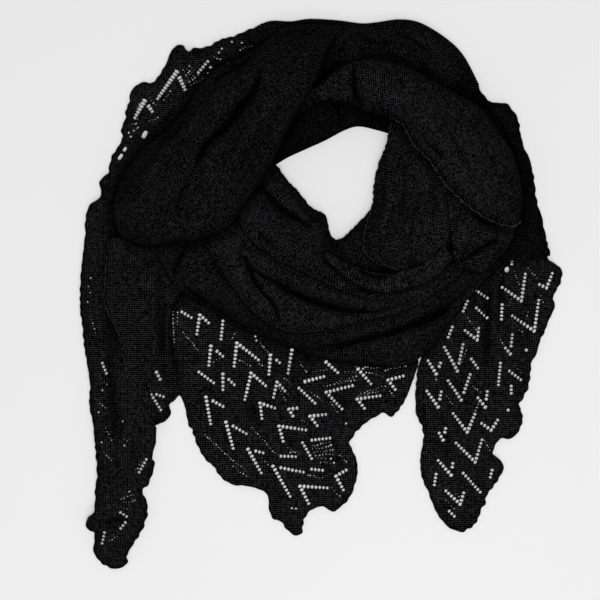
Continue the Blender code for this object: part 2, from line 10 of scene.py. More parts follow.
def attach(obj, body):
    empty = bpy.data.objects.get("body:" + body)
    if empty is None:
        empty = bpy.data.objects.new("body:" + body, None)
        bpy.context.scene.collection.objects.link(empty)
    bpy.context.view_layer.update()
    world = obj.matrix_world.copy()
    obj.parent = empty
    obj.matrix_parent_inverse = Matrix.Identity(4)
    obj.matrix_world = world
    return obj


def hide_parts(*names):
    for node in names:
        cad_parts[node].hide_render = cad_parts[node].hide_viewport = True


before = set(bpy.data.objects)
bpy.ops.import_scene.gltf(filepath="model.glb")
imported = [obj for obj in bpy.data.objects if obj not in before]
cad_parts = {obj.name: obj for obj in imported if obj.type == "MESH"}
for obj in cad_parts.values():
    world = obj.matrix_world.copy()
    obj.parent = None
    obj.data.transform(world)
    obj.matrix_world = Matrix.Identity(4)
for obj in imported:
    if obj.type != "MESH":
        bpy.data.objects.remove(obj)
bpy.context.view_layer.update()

# The tables are in picture units, x to the right and y down, as the scarf lies. Heights are in mm.
scarf = {
    "unit": 0.578 / 482,
    "middle": (321.5, 293.5),
    "wall": 1.6,
    "laceWall": 1.2,
    "seat": 0.3,
    "roundness": 2.4,
    "crowding": 0.6,
    "spacing": 2.5,
}
mm = 0.001
unit = scarf["unit"]

print("Scarf: helpers")


def place(points):
    return (np.asarray(points, float) - scarf["middle"]) * (unit, -unit)


def throughRows(rows, t):
    # a smooth curve through the rows of a table, t from 0 to 1
    last = len(rows) - 1
    i = np.minimum((t * last).astype(int), last - 1)
    f = (t * last - i)[:, None]
    before, start, end, after = (rows[np.clip(i + k, 0, last)] for k in (-1, 0, 1, 2))
    bend = 2 * before - 5 * start + 4 * end - after
    twist = 3 * start - before - 3 * end + after
    return 0.5 * (2 * start + (end - before) * f + bend * f**2 + twist * f**3)


def evenRuns(line):
    steps = np.linalg.norm(np.diff(line, axis=0), axis=1)
    return np.concatenate([[0], np.cumsum(steps)])


def smoothLine(points, step):
    # the same line, rounded and with points an even step apart
    points = np.array(points, float)
    fine = throughRows(points, np.linspace(0, 1, 24 * len(points)))
    run = evenRuns(fine)
    count = max(int(round(run[-1] / step)), 2)
    marks = np.linspace(0, run[-1], count + 1)
    return np.stack([np.interp(marks, run, fine[:, k]) for k in range(points.shape[1])], axis=1)


def offLine(spots, line):
    # how far each spot is from a line, and how far along the line that is, from 0 to 1
    nearest = np.full(len(spots), np.inf)
    along = np.zeros(len(spots))
    for i in range(len(line) - 1):
        run = line[i + 1] - line[i]
        part = np.clip((spots - line[i]) @ run / max(run @ run, 1e-12), 0, 1)
        distance = np.linalg.norm(spots - line[i] - part[:, None] * run, axis=1)
        closer = distance < nearest
        nearest = np.where(closer, distance, nearest)
        along = np.where(closer, (i + part) / (len(line) - 1), along)
    return nearest, along


creaseLook = {"step": 6, "fade": 0.34, "least": 0.06, "uneven": 0.25}


def creaseHeights(spots, folds):
    # creases are sharp in the valley with broad shoulders, ridges are round
    height = np.zeros(len(spots))
    for number, (depth, width, path) in enumerate(folds):
        line = place(smoothLine(path, creaseLook["step"]))
        distance, along = offLine(spots, line)
        fade = np.clip(np.minimum(along, 1 - along) / creaseLook["fade"], creaseLook["least"], 1)
        uneven = 1 + creaseLook["uneven"] * np.sin(along * 9 + number * 2.3) * np.cos(along * 4 + number)
        if depth > 0:
            shape = np.exp(-(np.sqrt(distance**2 + 1e-6) - 0.001) / (width * mm))
        else:
            shape = np.exp(-((distance / (width * mm)) ** 2))
        height -= depth * mm * shape * fade * uneven
    return height


# Height in mm, how close the waves lie across and along the stretch, and the step of the seed.
wrinkleLook = ((1.5, 42, 19, 0), (0.55, 120, 62, 7), (0.16, 330, 230, 13))


def wrinkleHeights(around, along, seed):
    # shallow unevenness, longer along the stretch than across it
    heights = []
    for a, b in zip(around.ravel(), along.ravel()):
        waves = (high * noise.noise(Vector((a * over, b * on, seed + step))) for high, over, on, step in wrinkleLook)
        heights.append(sum(waves))
    return np.array(heights).reshape(around.shape) * mm


def besideSum(grid):
    # the sum of the four cells beside each cell
    padded = np.pad(grid, 1, mode="edge")
    return padded[:-2, 1:-1] + padded[2:, 1:-1] + padded[1:-1, :-2] + padded[1:-1, 2:]


# How high the finished cloth stands, on a grid of one picture unit. Nothing is there yet.
heap = {"left": 60, "top": 0, "heights": np.full((600, 530), -1.0), "parts": 4, "rounds": 10, "spread": 0.96}


def heapCells(spots):
    x = spots[..., 0] / unit + scarf["middle"][0] - heap["left"]
    y = scarf["middle"][1] - spots[..., 1] / unit - heap["top"]
    rows = np.clip(np.round(y).astype(int), 0, heap["heights"].shape[0] - 1)
    columns = np.clip(np.round(x).astype(int), 0, heap["heights"].shape[1] - 1)
    return rows, columns


def widened(heights, reach):
    wide = heights.copy()
    for _ in range(reach):
        wide[1:] = np.maximum(wide[1:], wide[:-1])
        wide[:-1] = np.maximum(wide[:-1], wide[1:])
        wide[:, 1:] = np.maximum(wide[:, 1:], wide[:, :-1])
        wide[:, :-1] = np.maximum(wide[:, :-1], wide[:, 1:])
    return wide


def addToHeap(grid):
    shares = np.linspace(0, 1, heap["parts"])
    for a, b in ((a, b) for a in shares for b in shares):
        ahead = grid[:-1] * (1 - a) + grid[1:] * a
        spots = ahead[:, :-1] * (1 - b) + ahead[:, 1:] * b
        np.maximum.at(heap["heights"], heapCells(spots), spots[..., 2])


def restOnHeap(grid, wall):
    below = widened(heap["heights"], 1)[heapCells(grid)]
    need = np.where(below > 0, below + (wall + scarf["seat"]) * mm - grid[..., 2], 0)
    lift = np.maximum(need, 0)
    for _ in range(heap["rounds"]):
        lift = np.maximum(lift, heap["spread"] * (besideSum(lift) / 4))
    grid[..., 2] += lift


loftLook = {"marks": 500, "spare": 1.3, "ruffleReach": 5.5, "ruffleSwing": 0.55, "offFloor": 0.4}
easeLook = {"creases": (8, 0.12), "wrinkles": (6, 0.25)}  # how soon they grow from the edge, and the least


def loftGrid(piece, seed, wall):
    # the grid of a stretch: through its rows, with its creases and ruffles, laid on the heap
    rows = np.array(piece["rows"], float)
    marks = np.linspace(0, 1, loftLook["marks"])
    fine = throughRows(rows, marks)
    run = (evenRuns(place(fine[:, 0:2])) + evenRuns(place(fine[:, 2:4]))) / 2
    steps = int(run[-1] / (scarf["spacing"] * mm)) + 2
    table = throughRows(rows, np.interp(np.linspace(0, run[-1], steps), run, marks))
    left, right = place(table[:, 0:2]), place(table[:, 2:4])
    side = right - left
    length = np.linalg.norm(side, axis=1)
    ahead = np.stack([side[:, 1], -side[:, 0]], axis=1) / length[:, None] * table[:, 4:5] * unit
    even = np.linspace(0, 1, int(length.max() * loftLook["spare"] / (scarf["spacing"] * mm)) + 4)
    v = even + (0.5 - 0.5 * np.cos(np.pi * even) - even) * scarf["crowding"]
    spots = left[:, None] + side[:, None] * v[None, :, None]
    spots = spots + ahead[:, None] * (4 * v * (1 - v))[None, :, None]
    crown = (1 - np.abs(2 * v - 1) ** scarf["roundness"]) ** (1 / scarf["roundness"])
    z = table[:, 5:6] + (table[:, 6:7] - table[:, 5:6]) * v + table[:, 7:8] * crown
    ease = {kind: np.minimum(1, soon * v * (1 - v) + least) for kind, (soon, least) in easeLook.items()}
    creases = creaseHeights(spots.reshape(-1, 2), piece["folds"]).reshape(spots.shape[:2])
    alongEdge = np.linspace(0, run[-1], steps)
    wrinkles = wrinkleHeights(v[None] * length[:, None], alongEdge[:, None] + 0 * v, seed)
    z = z * mm + creases * ease["creases"] + wrinkles * ease["wrinkles"]
    for edge, key in ((v, "leftRuffle"), (1 - v, "rightRuffle")):
        if key in piece:
            high, waveLength = piece[key]
            phase = alongEdge / (waveLength * unit) * math.tau
            phase += 1.9 * np.sin(phase * 0.23 + seed) + 0.8 * np.sin(phase * 0.61)
            wave = np.sin(phase)
            near = np.exp(-edge[None] * length[:, None] / (loftLook["ruffleReach"] * mm))
            z += wave[:, None] * high * mm * near
            out = -side / length[:, None] if key == "leftRuffle" else side / length[:, None]
            spots += (out * np.cos(phase)[:, None] * high * loftLook["ruffleSwing"] * mm)[:, None] * near[..., None]
    z = np.maximum(z, (wall + loftLook["offFloor"]) * mm)
    grid = np.concatenate([spots, z[..., None]], axis=2)
    restOnHeap(grid, wall)
    return grid


def rolledUnder(grid, radius):
    # the first column's edge turns down and in, as a fold's edge does
    inward = grid[:, 2, :2] - grid[:, 0, :2]
    inward /= np.maximum(np.linalg.norm(inward, axis=1), 1e-6)[:, None]
    columns = []
    for angle in np.radians((30, 62, 95, 125, 150)):
        spot = grid[:, 0].copy()
        spot[:, :2] += inward * radius * mm * (1 - math.cos(angle))
        spot[:, 2] -= radius * mm * math.sin(angle)
        below = np.maximum(heap["heights"][heapCells(spot)], 0) + scarf["seat"] * mm
        spot[:, 2] = np.minimum(np.maximum(spot[:, 2], below), grid[:, 0, 2])
        columns.insert(0, spot)
    return np.concatenate([np.stack(columns, axis=1), grid], axis=1)


def selectOnly(piece):
    bpy.ops.object.select_all(action="DESELECT")
    piece.select_set(True)
    bpy.context.view_layer.objects.active = piece


def pointsOf(mesh):
    points = np.empty(len(mesh.vertices) * 3)
    mesh.vertices.foreach_get("co", points)
    return points.reshape(-1, 3)


def cornersOf(mesh):
    corners = np.empty(len(mesh.loops), int)
    mesh.loops.foreach_get("vertex_index", corners)
    return corners


def newObject(name, points, faces, uvs, material, creaseShade=None):
    mesh = bpy.data.meshes.new(name)
    mesh.from_pydata([tuple(p) for p in points], [], [tuple(f) for f in faces])
    layer = mesh.uv_layers.new(name="cloth")
    layer.data.foreach_set("uv", np.asarray(uvs, np.float32)[cornersOf(mesh)].ravel())
    # painted shade in the creases, where given, is kept on the points
    if creaseShade is not None:
        shade = mesh.attributes.new("paintedShade", "FLOAT", "POINT")
        shade.data.foreach_set("value", np.asarray(creaseShade, np.float32).ravel())
    mesh.materials.append(material)
    mesh.shade_smooth()
    piece = bpy.data.objects.new(name, mesh)
    bpy.context.scene.collection.objects.link(piece)
    return piece


# How the painted shade is worked out, in the creases and beside higher layers.
shading = {
    "rounds": 9,
    "fullDepth": 1.0,
    "valley": 0.95,
    "reaches": (1.5, 3, 5, 8, 12),
    "ways": 12,
    "step": 0.4,
    "strength": 1.7,
    "most": 0.94,
}


def creaseShadeOf(grid):
    # painted shade in the creases: 0 where the cloth is level or raised, up to 1 in the valleys, where less light
    # reaches the yarn
    z = grid[..., 2]
    mean = z.copy()
    for _ in range(shading["rounds"]):
        mean = (besideSum(mean) + 4 * mean) / 8
    return np.clip((mean - z) / (shading["fullDepth"] * mm), 0, 1) * shading["valley"]


def shadeFromHeap(piece):
    # cloth beside or under a higher layer gets less light, and is given painted shade by how steeply the heap rises
    # round each point
    mesh = piece.data
    points = pointsOf(mesh)
    outer = points[: len(points) // 2]
    closed = np.zeros(len(outer))
    for turn in np.linspace(0, math.tau, shading["ways"], endpoint=False):
        steepest = np.zeros(len(outer))
        for reach in shading["reaches"]:
            away = reach * unit
            spots = outer + (math.cos(turn) * away, math.sin(turn) * away, 0)
            rise = heap["heights"][heapCells(spots)] - outer[:, 2]
            steepest = np.maximum(steepest, (rise - shading["step"] * mm) / away)
        closed += steepest / np.sqrt(1 + steepest**2) / shading["ways"]
    layer = mesh.attributes.get("paintedShade") or mesh.attributes.new("paintedShade", "FLOAT", "POINT")
    paintedShade = np.zeros(len(points), np.float32)
    layer.data.foreach_get("value", paintedShade)
    shade = paintedShade[: len(outer)] + closed * shading["strength"]
    paintedShade[: len(outer)] = np.clip(shade, 0, shading["most"])
    paintedShade[len(points) - len(outer) :] = paintedShade[: len(outer)]
    layer.data.foreach_set("value", paintedShade)


def applyWall(piece, wall):
    selectOnly(piece)
    shell = piece.modifiers.new("wall", "SOLIDIFY")
    shell.thickness = wall * mm
    shell.offset = -1
    shell.use_even_offset = False
    bpy.ops.object.modifier_apply(modifier=shell.name)


def gridFaces(rows, columns):
    index = np.arange(rows * columns).reshape(rows, columns)
    return np.stack([index[:-1, :-1], index[:-1, 1:], index[1:, 1:], index[1:, :-1]], axis=-1).reshape(-1, 4)


def gridArc(grid):
    # lengths along the cloth in metres, across and along the stretch, for the stitches
    across = np.linalg.norm(np.diff(grid, axis=1), axis=2)
    across = np.concatenate([np.zeros((len(grid), 1)), np.cumsum(across, axis=1)], axis=1)
    across -= across[:, -1:] / 2
    middle = grid[:, grid.shape[1] // 2]
    along = evenRuns(middle)
    return np.stack([across, np.repeat(along[:, None], grid.shape[1], axis=1)], axis=-1)


def facingUp(grid):
    i, j = grid.shape[0] // 2, grid.shape[1] // 2
    side, ahead = grid[i, j + 1] - grid[i, j], grid[i + 1, j] - grid[i, j]
    return side[0] * ahead[1] - side[1] * ahead[0] > 0


cloths = []  # every stretch, in the order in which it is laid


def layFold(name, node, piece, material, seed):
    # one stretch of plain knit: lofted, laid on what is below it, its edges rolled under
    grid = loftGrid(piece, seed, scarf["wall"])
    edges = grid[:, 0].copy(), grid[:, -1].copy()
    if piece.get("leftRoll"):
        grid = rolledUnder(grid, piece["leftRoll"])
    if piece.get("rightRoll"):
        grid = rolledUnder(grid[:, ::-1], piece["rightRoll"])[:, ::-1]
    if not facingUp(grid):
        grid = grid[:, ::-1]
    faces, arc = gridFaces(*grid.shape[:2]), gridArc(grid).reshape(-1, 2)
    cloth = newObject(name, grid.reshape(-1, 3), faces, arc, material, creaseShadeOf(grid))
    applyWall(cloth, scarf["wall"])
    addToHeap(grid)
    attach(cloth, "root")
    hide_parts(node)
    for key, edge in (("leftRuffle", edges[0]), ("rightRuffle", edges[1])):
        if key in piece:
            edge = edge[int(len(edge) * piece.get("hemFrom", 0)) :]
            finish, thicker = piece.get("rim", "hemKnit"), piece.get("rimSize", 1)
            hemTube(name + "Hem", edge, seed, finish, thicker)
    cloths.append(cloth)
    print("Scarf:", name, len(cloth.data.polygons), "faces")


hemLook = {"radius": 0.85, "step": 1.7, "sides": 6, "uneven": 0.22, "stitch": 0.0011, "offFloor": 0.0001}


def hemTube(name, path, seed, finish="hemKnit", thicker=1):
    # the curled edge of the knit, a thin roll that follows the cloth's edge
    line = smoothLine(path, hemLook["step"] * mm)
    count, sides = len(line), hemLook["sides"]
    ahead = np.gradient(line, axis=0)
    ahead /= np.maximum(np.linalg.norm(ahead, axis=1), 1e-9)[:, None]
    side = np.cross(ahead, (0, 0, 1))
    side /= np.maximum(np.linalg.norm(side, axis=1), 1e-9)[:, None]
    up = np.cross(side, ahead)
    run = evenRuns(line)
    uneven = 1 + hemLook["uneven"] * np.sin(run * 520 + seed) * np.sin(run * 171)
    radius = hemLook["radius"] * thicker * mm * uneven
    rings = []
    for angle in np.linspace(0, math.tau, sides + 1)[:-1]:
        rings.append(line + (side * math.cos(angle) + up * math.sin(angle)) * radius[:, None])
    points = np.stack(rings, axis=1)
    points[..., 2] = np.maximum(points[..., 2], hemLook["offFloor"])
    faces = []
    for i in range(count - 1):
        for k in range(sides):
            a, b = i * sides + k, i * sides + (k + 1) % sides
            faces.append((a, b, b + sides, a + sides))
    faces.append(tuple(range(sides - 1, -1, -1)))
    faces.append(tuple((count - 1) * sides + k for k in range(sides)))
    around = np.tile(np.arange(sides) * hemLook["stitch"], (count, 1))
    uvs = np.stack([around, np.repeat(run[:, None], sides, axis=1)], axis=-1)
    tube = newObject(name, points.reshape(-1, 3), faces, uvs.reshape(-1, 2), bpy.data.materials[finish])
    turnOut(tube)
    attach(tube, "root")
    return tube


def turnOut(piece):
    selectOnly(piece)
    bpy.ops.object.mode_set(mode="EDIT")
    bpy.ops.mesh.select_all(action="SELECT")
    bpy.ops.mesh.normals_make_consistent(inside=False)
    bpy.ops.object.mode_set(mode="OBJECT")


# Lace: a leg is a row of oval eyelets, a little smaller from the point of its V to its end.
laceLook = {
    "first": (3.2, 4.1),
    "last": (2.7, 3.1),
    "small": (2.8, 3.3),
    "wide": (2.9, 5.2),
    "yarn": 0.9,
    "finerYarn": 0.5,
    "pinhole": 1.3,
    "pinholeStep": 2.9,
    "dot": 2.2,
    "taper": 14,
    "over": 0.4,
    "between": 0.35,
    "fromEdge": 0.8,
    "netStep": 3.0,
    "netFromEdge": 1.3,
    "netFromEyelet": 1.0,
    "hemWave": 10.5,
    "hemSwing": 0.6,
    "hemStep": 2.0,
    "hemFade": 8,
    "tuckStep": 4,
    "pinholeUneven": 0.3,
    "waveHeight": 1.1,
    "waveReach": 4.5,
    "hemSink": 0.4,
}


def legEyelets(start, end, first="first", skipFirst=False):
    # each eyelet is longer across the leg than along it
    start, end = np.array(start, float), np.array(end, float)
    length = np.linalg.norm(end - start)
    way = (end - start) / max(length, 1e-6)
    turn = math.atan2(way[1], way[0])
    size, last = np.array(laceLook[first]), np.array(laceLook["last"])
    spots, s = [], 0.0
    while s <= length + laceLook["over"]:
        wide, long = size + (last - size) * min(s / max(length, laceLook["taper"]), 1)
        if not (skipFirst and s == 0):
            spots.append((*(start + way * s), wide, long, turn))
        s += wide + laceLook["finerYarn" if first == "wide" else "yarn"]
    return spots


def pinholeRow(start, end):
    start, end = np.array(start, float), np.array(end, float)
    count = int(np.linalg.norm(end - start) / laceLook["pinholeStep"]) + 1
    size = laceLook["pinhole"]
    spots = []
    for k, share in enumerate(np.linspace(0, 1, count)):
        x, y = start + (end - start) * share
        uneven = size * (1 + laceLook["pinholeUneven"] * math.sin(2.4 * k + x))
        spots.append((x + 0.4 * math.cos(2.9 * k + y), y + 0.5 * math.sin(1.7 * k + x), uneven, uneven, 0.0))
    return spots


def chartEyelets(piece):
    eyelets = []
    for x, y, wide, long, turn in piece.get("gaps", []):
        eyelets.append((x, y, wide, long, math.radians(turn)))
    first = piece.get("eyelet", "first")
    for apex, *ends in piece.get("vees", []):
        for number, end in enumerate(ends):
            eyelets += legEyelets(apex, end, first, skipFirst=number > 0)
    for leg in piece.get("legs", []):
        eyelets += legEyelets(leg[:2], leg[2:], "small")
    for x, y in piece.get("dots", []):
        eyelets.append((x, y, laceLook["dot"], laceLook["dot"], 0))
    for row in piece.get("pinholes", []):
        eyelets += pinholeRow(row[:2], row[2:])
    return eyelets


def roomBetween(one, other):
    # eyelets of one leg stand with their narrow sides to each other
    if one[2] == other[2]:
        return (one[0] + other[0]) / 2 + laceLook["between"]
    return (one[0] + one[1] + other[0] + other[1]) / 4 + laceLook["between"]


def insideLine(spots, rim):
    inside = np.zeros(len(spots), bool)
    x, y = spots[:, 0], spots[:, 1]
    for (ax, ay), (bx, by) in zip(rim, np.roll(rim, -1, axis=0)):
        crosses = (ay > y) != (by > y)
        with np.errstate(divide="ignore", invalid="ignore"):
            at = (bx - ax) * (y - ay) / (by - ay) + ax
        inside ^= crosses & (x < at)
    return inside


def hemLine(piece, seed):
    # the visible edge, with the small waves of a stretched knit edge
    line = smoothLine(piece["hem"], laceLook["hemStep"])
    run = evenRuns(line)
    ahead = np.gradient(line, axis=0)
    out = np.stack([ahead[:, 1], -ahead[:, 0]], axis=1) / np.linalg.norm(ahead, axis=1)[:, None]
    phase = run / laceLook["hemWave"] * math.tau + 2.2 * np.sin(run / 19 + seed) + 1.1 * np.sin(run / 7.3)
    strength = 0.65 + 0.5 * np.sin(run / 13.7 + 2 * seed) * np.sin(run / 31)
    fade = np.clip(np.minimum(run, run[-1] - run) / laceLook["hemFade"], 0, 1) * strength
    return line + out * (np.sin(phase) * laceLook["hemSwing"] * fade)[:, None], phase, fade


def turnedLeft(shape, points):
    # the same loop of points, in the order that the triangulation needs
    loop = [points[i] for i in shape]
    twice = sum(a[0] * b[1] - b[0] * a[1] for a, b in zip(loop, loop[1:] + loop[:1]))
    return shape if twice > 0 else shape[::-1]


def fittingEyelets(piece, rim):
    # the charted eyelets that lie inside the edge and clear of each other
    closed = np.vstack([rim, rim[:1]])
    eyelets = []
    for x, y, wide, long, turn in chartEyelets(piece):
        spot = np.array([[x, y]])
        if offLine(spot, closed)[0][0] < (wide + long) / 4 + laceLook["fromEdge"] or not insideLine(spot, rim)[0]:
            continue
        if any(math.hypot(x - o[0], y - o[1]) < roomBetween((wide, long, turn), o[2:]) for o in eyelets):
            continue
        eyelets.append((x, y, wide, long, turn))
    return eyelets


def netPoints(rim, eyelets):
    # points between the eyelets, so that the cloth can follow its form
    left, top = rim.min(axis=0)
    right, bottom = rim.max(axis=0)
    step = laceLook["netStep"]
    net = []
    for row, y in enumerate(np.arange(top, bottom, step * 0.866)):
        for x in np.arange(left + (row % 2) * step / 2, right, step):
            net.append((x, y))
    net = np.array(net)
    net = net[insideLine(net, rim)]
    net = net[offLine(net, np.vstack([rim, rim[:1]]))[0] > laceLook["netFromEdge"]]
    for x, y, wide, long, turn in eyelets:
        net = net[np.hypot(net[:, 0] - x, net[:, 1] - y) > max(wide, long) / 2 + laceLook["netFromEyelet"]]
    return net


def eyeletRing(x, y, wide, long, turn, square):
    # an oval of 4 to 8 corners, and the lower square is, the squarer it gets
    sides = 8 if wide > 2.2 else 6 if wide > 1.6 else 4
    ring = []
    for k in range(sides):
        c, d = math.cos(k * math.tau / sides), math.sin(k * math.tau / sides)
        dx = math.copysign(abs(c) ** square, c) * wide / 2
        dy = math.copysign(abs(d) ** square, d) * long / 2
        ring.append((x + dx * math.cos(turn) - dy * math.sin(turn), y + dx * math.sin(turn) + dy * math.cos(turn)))
    return ring


def cutFlat(rim, eyelets, net, square):
    # the flat cloth with its eyelets cut out, as points and faces
    points, shapes = [tuple(p) for p in rim], [list(range(len(rim)))]
    for eyelet in eyelets:
        ring = eyeletRing(*eyelet, square)
        shapes.append(list(range(len(points), len(points) + len(ring))))
        points += ring
    points += [tuple(p) for p in net]
    shapes = [turnedLeft(shape, points) for shape in shapes]
    flat, _, faces, _, _, origins = delaunay_2d_cdt([Vector(p) for p in points], [], shapes, 1, 1e-5)
    kept = [face for face, origin in zip(faces, origins) if set(origin) == {0}]
    used = sorted({corner for face in kept for corner in face})
    renumber = {old: new for new, old in enumerate(used)}
    return np.array([tuple(flat[i]) for i in used]), [[renumber[i] for i in face] for face in kept]


def heightsOn(form, spots):
    # how high a lofted form stands at each spot
    faces = [tuple(face) for face in gridFaces(*form.shape[:2])]
    tree = BVHTree.FromPolygons([tuple(p) for p in form.reshape(-1, 3)], faces)
    heights = []
    for x, y in spots:
        hit = tree.ray_cast(Vector((x, y, 1)), Vector((0, 0, -1)))[0]
        if hit is None:
            hit = tree.find_nearest(Vector((x, y, 0.004)))[0]
        heights.append(hit.z)
    return np.array(heights)


def laySheet(name, node, piece, material, seed):
    # one stretch of lace: its outline and eyelets are cut flat, then laid on its lofted form
    form = loftGrid(piece, seed, scarf["laceWall"])
    if not facingUp(form):
        form = form[:, ::-1]
    hem, phase, fade = hemLine(piece, seed)
    tuck = smoothLine([piece["hem"][-1], *piece["tuck"], piece["hem"][0]], laceLook["tuckStep"])[1:-1]
    rim = np.vstack([hem, tuck])
    eyelets = fittingEyelets(piece, rim)
    flat, faces = cutFlat(rim, eyelets, netPoints(rim, eyelets), piece.get("square", 1))
    spots = place(flat)
    distance, along = offLine(flat, hem)
    wave = np.interp(along, np.linspace(0, 1, len(hem)), np.sin(phase + 1.2) * fade)
    wave = wave * piece.get("waveHeight", laceLook["waveHeight"]) * mm * np.exp(-distance / laceLook["waveReach"])
    z = np.maximum(heightsOn(form, spots) + wave, (scarf["laceWall"] + scarf["seat"]) * mm)
    solid = np.column_stack([spots, z])
    a, b, c = (solid[faces[0][k]] for k in range(3))
    if np.cross(b - a, c - a)[2] < 0:
        faces = [face[::-1] for face in faces]
    cloth = newObject(name, solid, faces, spots, material)
    applyWall(cloth, scarf["laceWall"])
    addToHeap(form)
    hemPath = []
    for x, y in place(hem):
        i = np.argmin(np.hypot(solid[:, 0] - x, solid[:, 1] - y))
        hemPath.append((x, y, solid[i, 2] - laceLook["hemSink"] * mm))
    hems = [hemTube(name + "Hem", np.array(hemPath), seed, piece.get("rim", "hemKnit"))]
    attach(cloth, "root")
    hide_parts(node)
    cloths.append(cloth)
    print("Scarf:", name, len(cloth.data.polygons), "faces,", len(eyelets), "eyelets")


print("Scarf: knit finishes")
knitLook = {
    "dark": (0.0002, 0.0002, 0.0002),
    "light": (0.0325, 0.0328, 0.0356),
    "gap": (0.0002, 0.0002, 0.0002),
    "roughness": 0.72,
    "sheen": 0.003,
    "sheenRoughness": 0.40,
    "sheenTint": (0.85, 0.90, 1.0),
    "specular": 0.006,
    "wale": 0.0031,
    "course": 0.0027,
    "slant": 0.8,
    "depth": 0.0011,
    "bump": 0.9,
    "span": 0.0276,
    "repeat": 0.038,
    "rise": 0.62,
    "pitch": 0.0050,
    "dot": 0.0011,
    "dots": 0.75,
    "stitches": 2.3,
    "lumps": 5.2,
    "level": -3.75,
    "cloud": (26, 5),
    "fibre": (780, 2),
    "lump": (330, 2),
    "clouds": 0.9,
    "fibres": 0.5,
    "dotDepth": 1.6,
}


def knitFinish(name, **changes):
    look = {**knitLook, **changes}
    material = bpy.data.materials.new(name)
    material.use_nodes = True
    nodes, links = material.node_tree.nodes, material.node_tree.links
    shader = nodes["Principled BSDF"]
    shader.inputs["Roughness"].default_value = look["roughness"]
    shader.inputs["Specular IOR Level"].default_value = look["specular"]
    shader.inputs["Sheen Weight"].default_value = look["sheen"]
    shader.inputs["Sheen Roughness"].default_value = look["sheenRoughness"]
    shader.inputs["Sheen Tint"].default_value = (*look["sheenTint"], 1)

    def reckon(operation, *values, clamp=False):
        node = nodes.new("ShaderNodeMath")
        node.operation = operation
        node.use_clamp = clamp
        for socket, value in zip(node.inputs, values):
            if isinstance(value, (int, float)):
                socket.default_value = value
            else:
                links.new(value, socket)
        return node.outputs[0]

    uv = nodes.new("ShaderNodeUVMap")
    uv.uv_map = "cloth"
    split = nodes.new("ShaderNodeSeparateXYZ")
    links.new(uv.outputs["UV"], split.inputs[0])
    across, along = split.outputs["X"], split.outputs["Y"]

    # columns of V-shaped stitches
    column = reckon("FRACT", reckon("DIVIDE", across, look["wale"]))
    lean = reckon("ABSOLUTE", reckon("SUBTRACT", column, 0.5))
    leg = reckon("MULTIPLY", reckon("SINE", reckon("MULTIPLY", lean, math.tau)), 0.45)
    leg = reckon("ADD", leg, reckon("MULTIPLY_ADD", lean, -1.5, 0.75))
    course = reckon("MULTIPLY_ADD", lean, look["slant"], reckon("DIVIDE", along, look["course"]))
    row = reckon("SINE", reckon("MULTIPLY", course, math.tau))
    stitch = reckon("MULTIPLY", leg, reckon("MULTIPLY_ADD", row, 0.5, 0.5))

    # zigzag rows of small closed eyelets
    arm = reckon("ABSOLUTE", reckon("SUBTRACT", reckon("FRACT", reckon("DIVIDE", across, look["span"])), 0.5))
    arm = reckon("MULTIPLY", arm, look["span"])
    level = reckon("DIVIDE", reckon("MULTIPLY_ADD", arm, -look["rise"], along), look["repeat"])
    offLevel = reckon("MULTIPLY", reckon("SUBTRACT", reckon("FRACT", level), 0.5), look["repeat"])
    offDot = reckon("SUBTRACT", reckon("FRACT", reckon("DIVIDE", arm, look["pitch"])), 0.5)
    offDot = reckon("MULTIPLY", offDot, look["pitch"])
    square = reckon("MULTIPLY", offDot, offDot)
    distance = reckon("SQRT", reckon("MULTIPLY_ADD", offLevel, offLevel, square))
    soft = look["dot"] * 0.5
    dot = reckon("MULTIPLY_ADD", distance, -1 / soft, look["dot"] / soft, clamp=True)
    dot = reckon("MULTIPLY", dot, look["dots"])

    position = nodes.new("ShaderNodeTexCoord")
    grain = {}
    for kind in ("cloud", "fibre", "lump"):
        node = nodes.new("ShaderNodeTexNoise")
        node.inputs["Scale"].default_value, node.inputs["Detail"].default_value = look[kind]
        links.new(position.outputs["Object"], node.inputs["Vector"])
        grain[kind] = node.outputs[0]
    tone = nodes.new("ShaderNodeMix")
    tone.data_type = "RGBA"
    tone.inputs["A"].default_value = (*look["dark"], 1)
    tone.inputs["B"].default_value = (*look["light"], 1)
    share = reckon("MULTIPLY_ADD", grain["cloud"], look["clouds"], look["level"])
    share = reckon("MULTIPLY_ADD", stitch, look["stitches"], share)
    share = reckon("MULTIPLY_ADD", grain["lump"], look["lumps"], share, clamp=True)
    # painted shade: the knit's colour is darkened where shade was painted on its points, in creases and beside higher
    # layers
    paintedShade = nodes.new("ShaderNodeAttribute")
    paintedShade.attribute_name = "paintedShade"
    share = reckon("MULTIPLY", share, reckon("SUBTRACT", 1, paintedShade.outputs["Fac"], clamp=True), clamp=True)
    links.new(share, tone.inputs["Factor"])
    colour = nodes.new("ShaderNodeMix")
    colour.data_type = "RGBA"
    colour.inputs["B"].default_value = (*look["gap"], 1)
    links.new(dot, colour.inputs["Factor"])
    links.new(tone.outputs["Result"], colour.inputs["A"])
    links.new(colour.outputs["Result"], shader.inputs["Base Color"])

    height = reckon("MULTIPLY_ADD", dot, -look["dotDepth"], stitch)
    height = reckon("MULTIPLY_ADD", grain["fibre"], look["fibres"], height)
    bump = nodes.new("ShaderNodeBump")
    bump.inputs["Strength"].default_value = look["bump"]
    bump.inputs["Distance"].default_value = look["depth"]
    links.new(height, bump.inputs["Height"])
    links.new(bump.outputs["Normal"], shader.inputs["Normal"])
    return material


foldKnit = knitFinish("foldKnit")
laceKnit = knitFinish("laceKnit", dots=0, wale=0.0029, course=0.0024, stitches=2.2, lumps=4.6, level=-3.4)
knitFinish("hemKnit", dots=0, light=(0.030, 0.0305, 0.0335), wale=0.0022, course=0.0024)
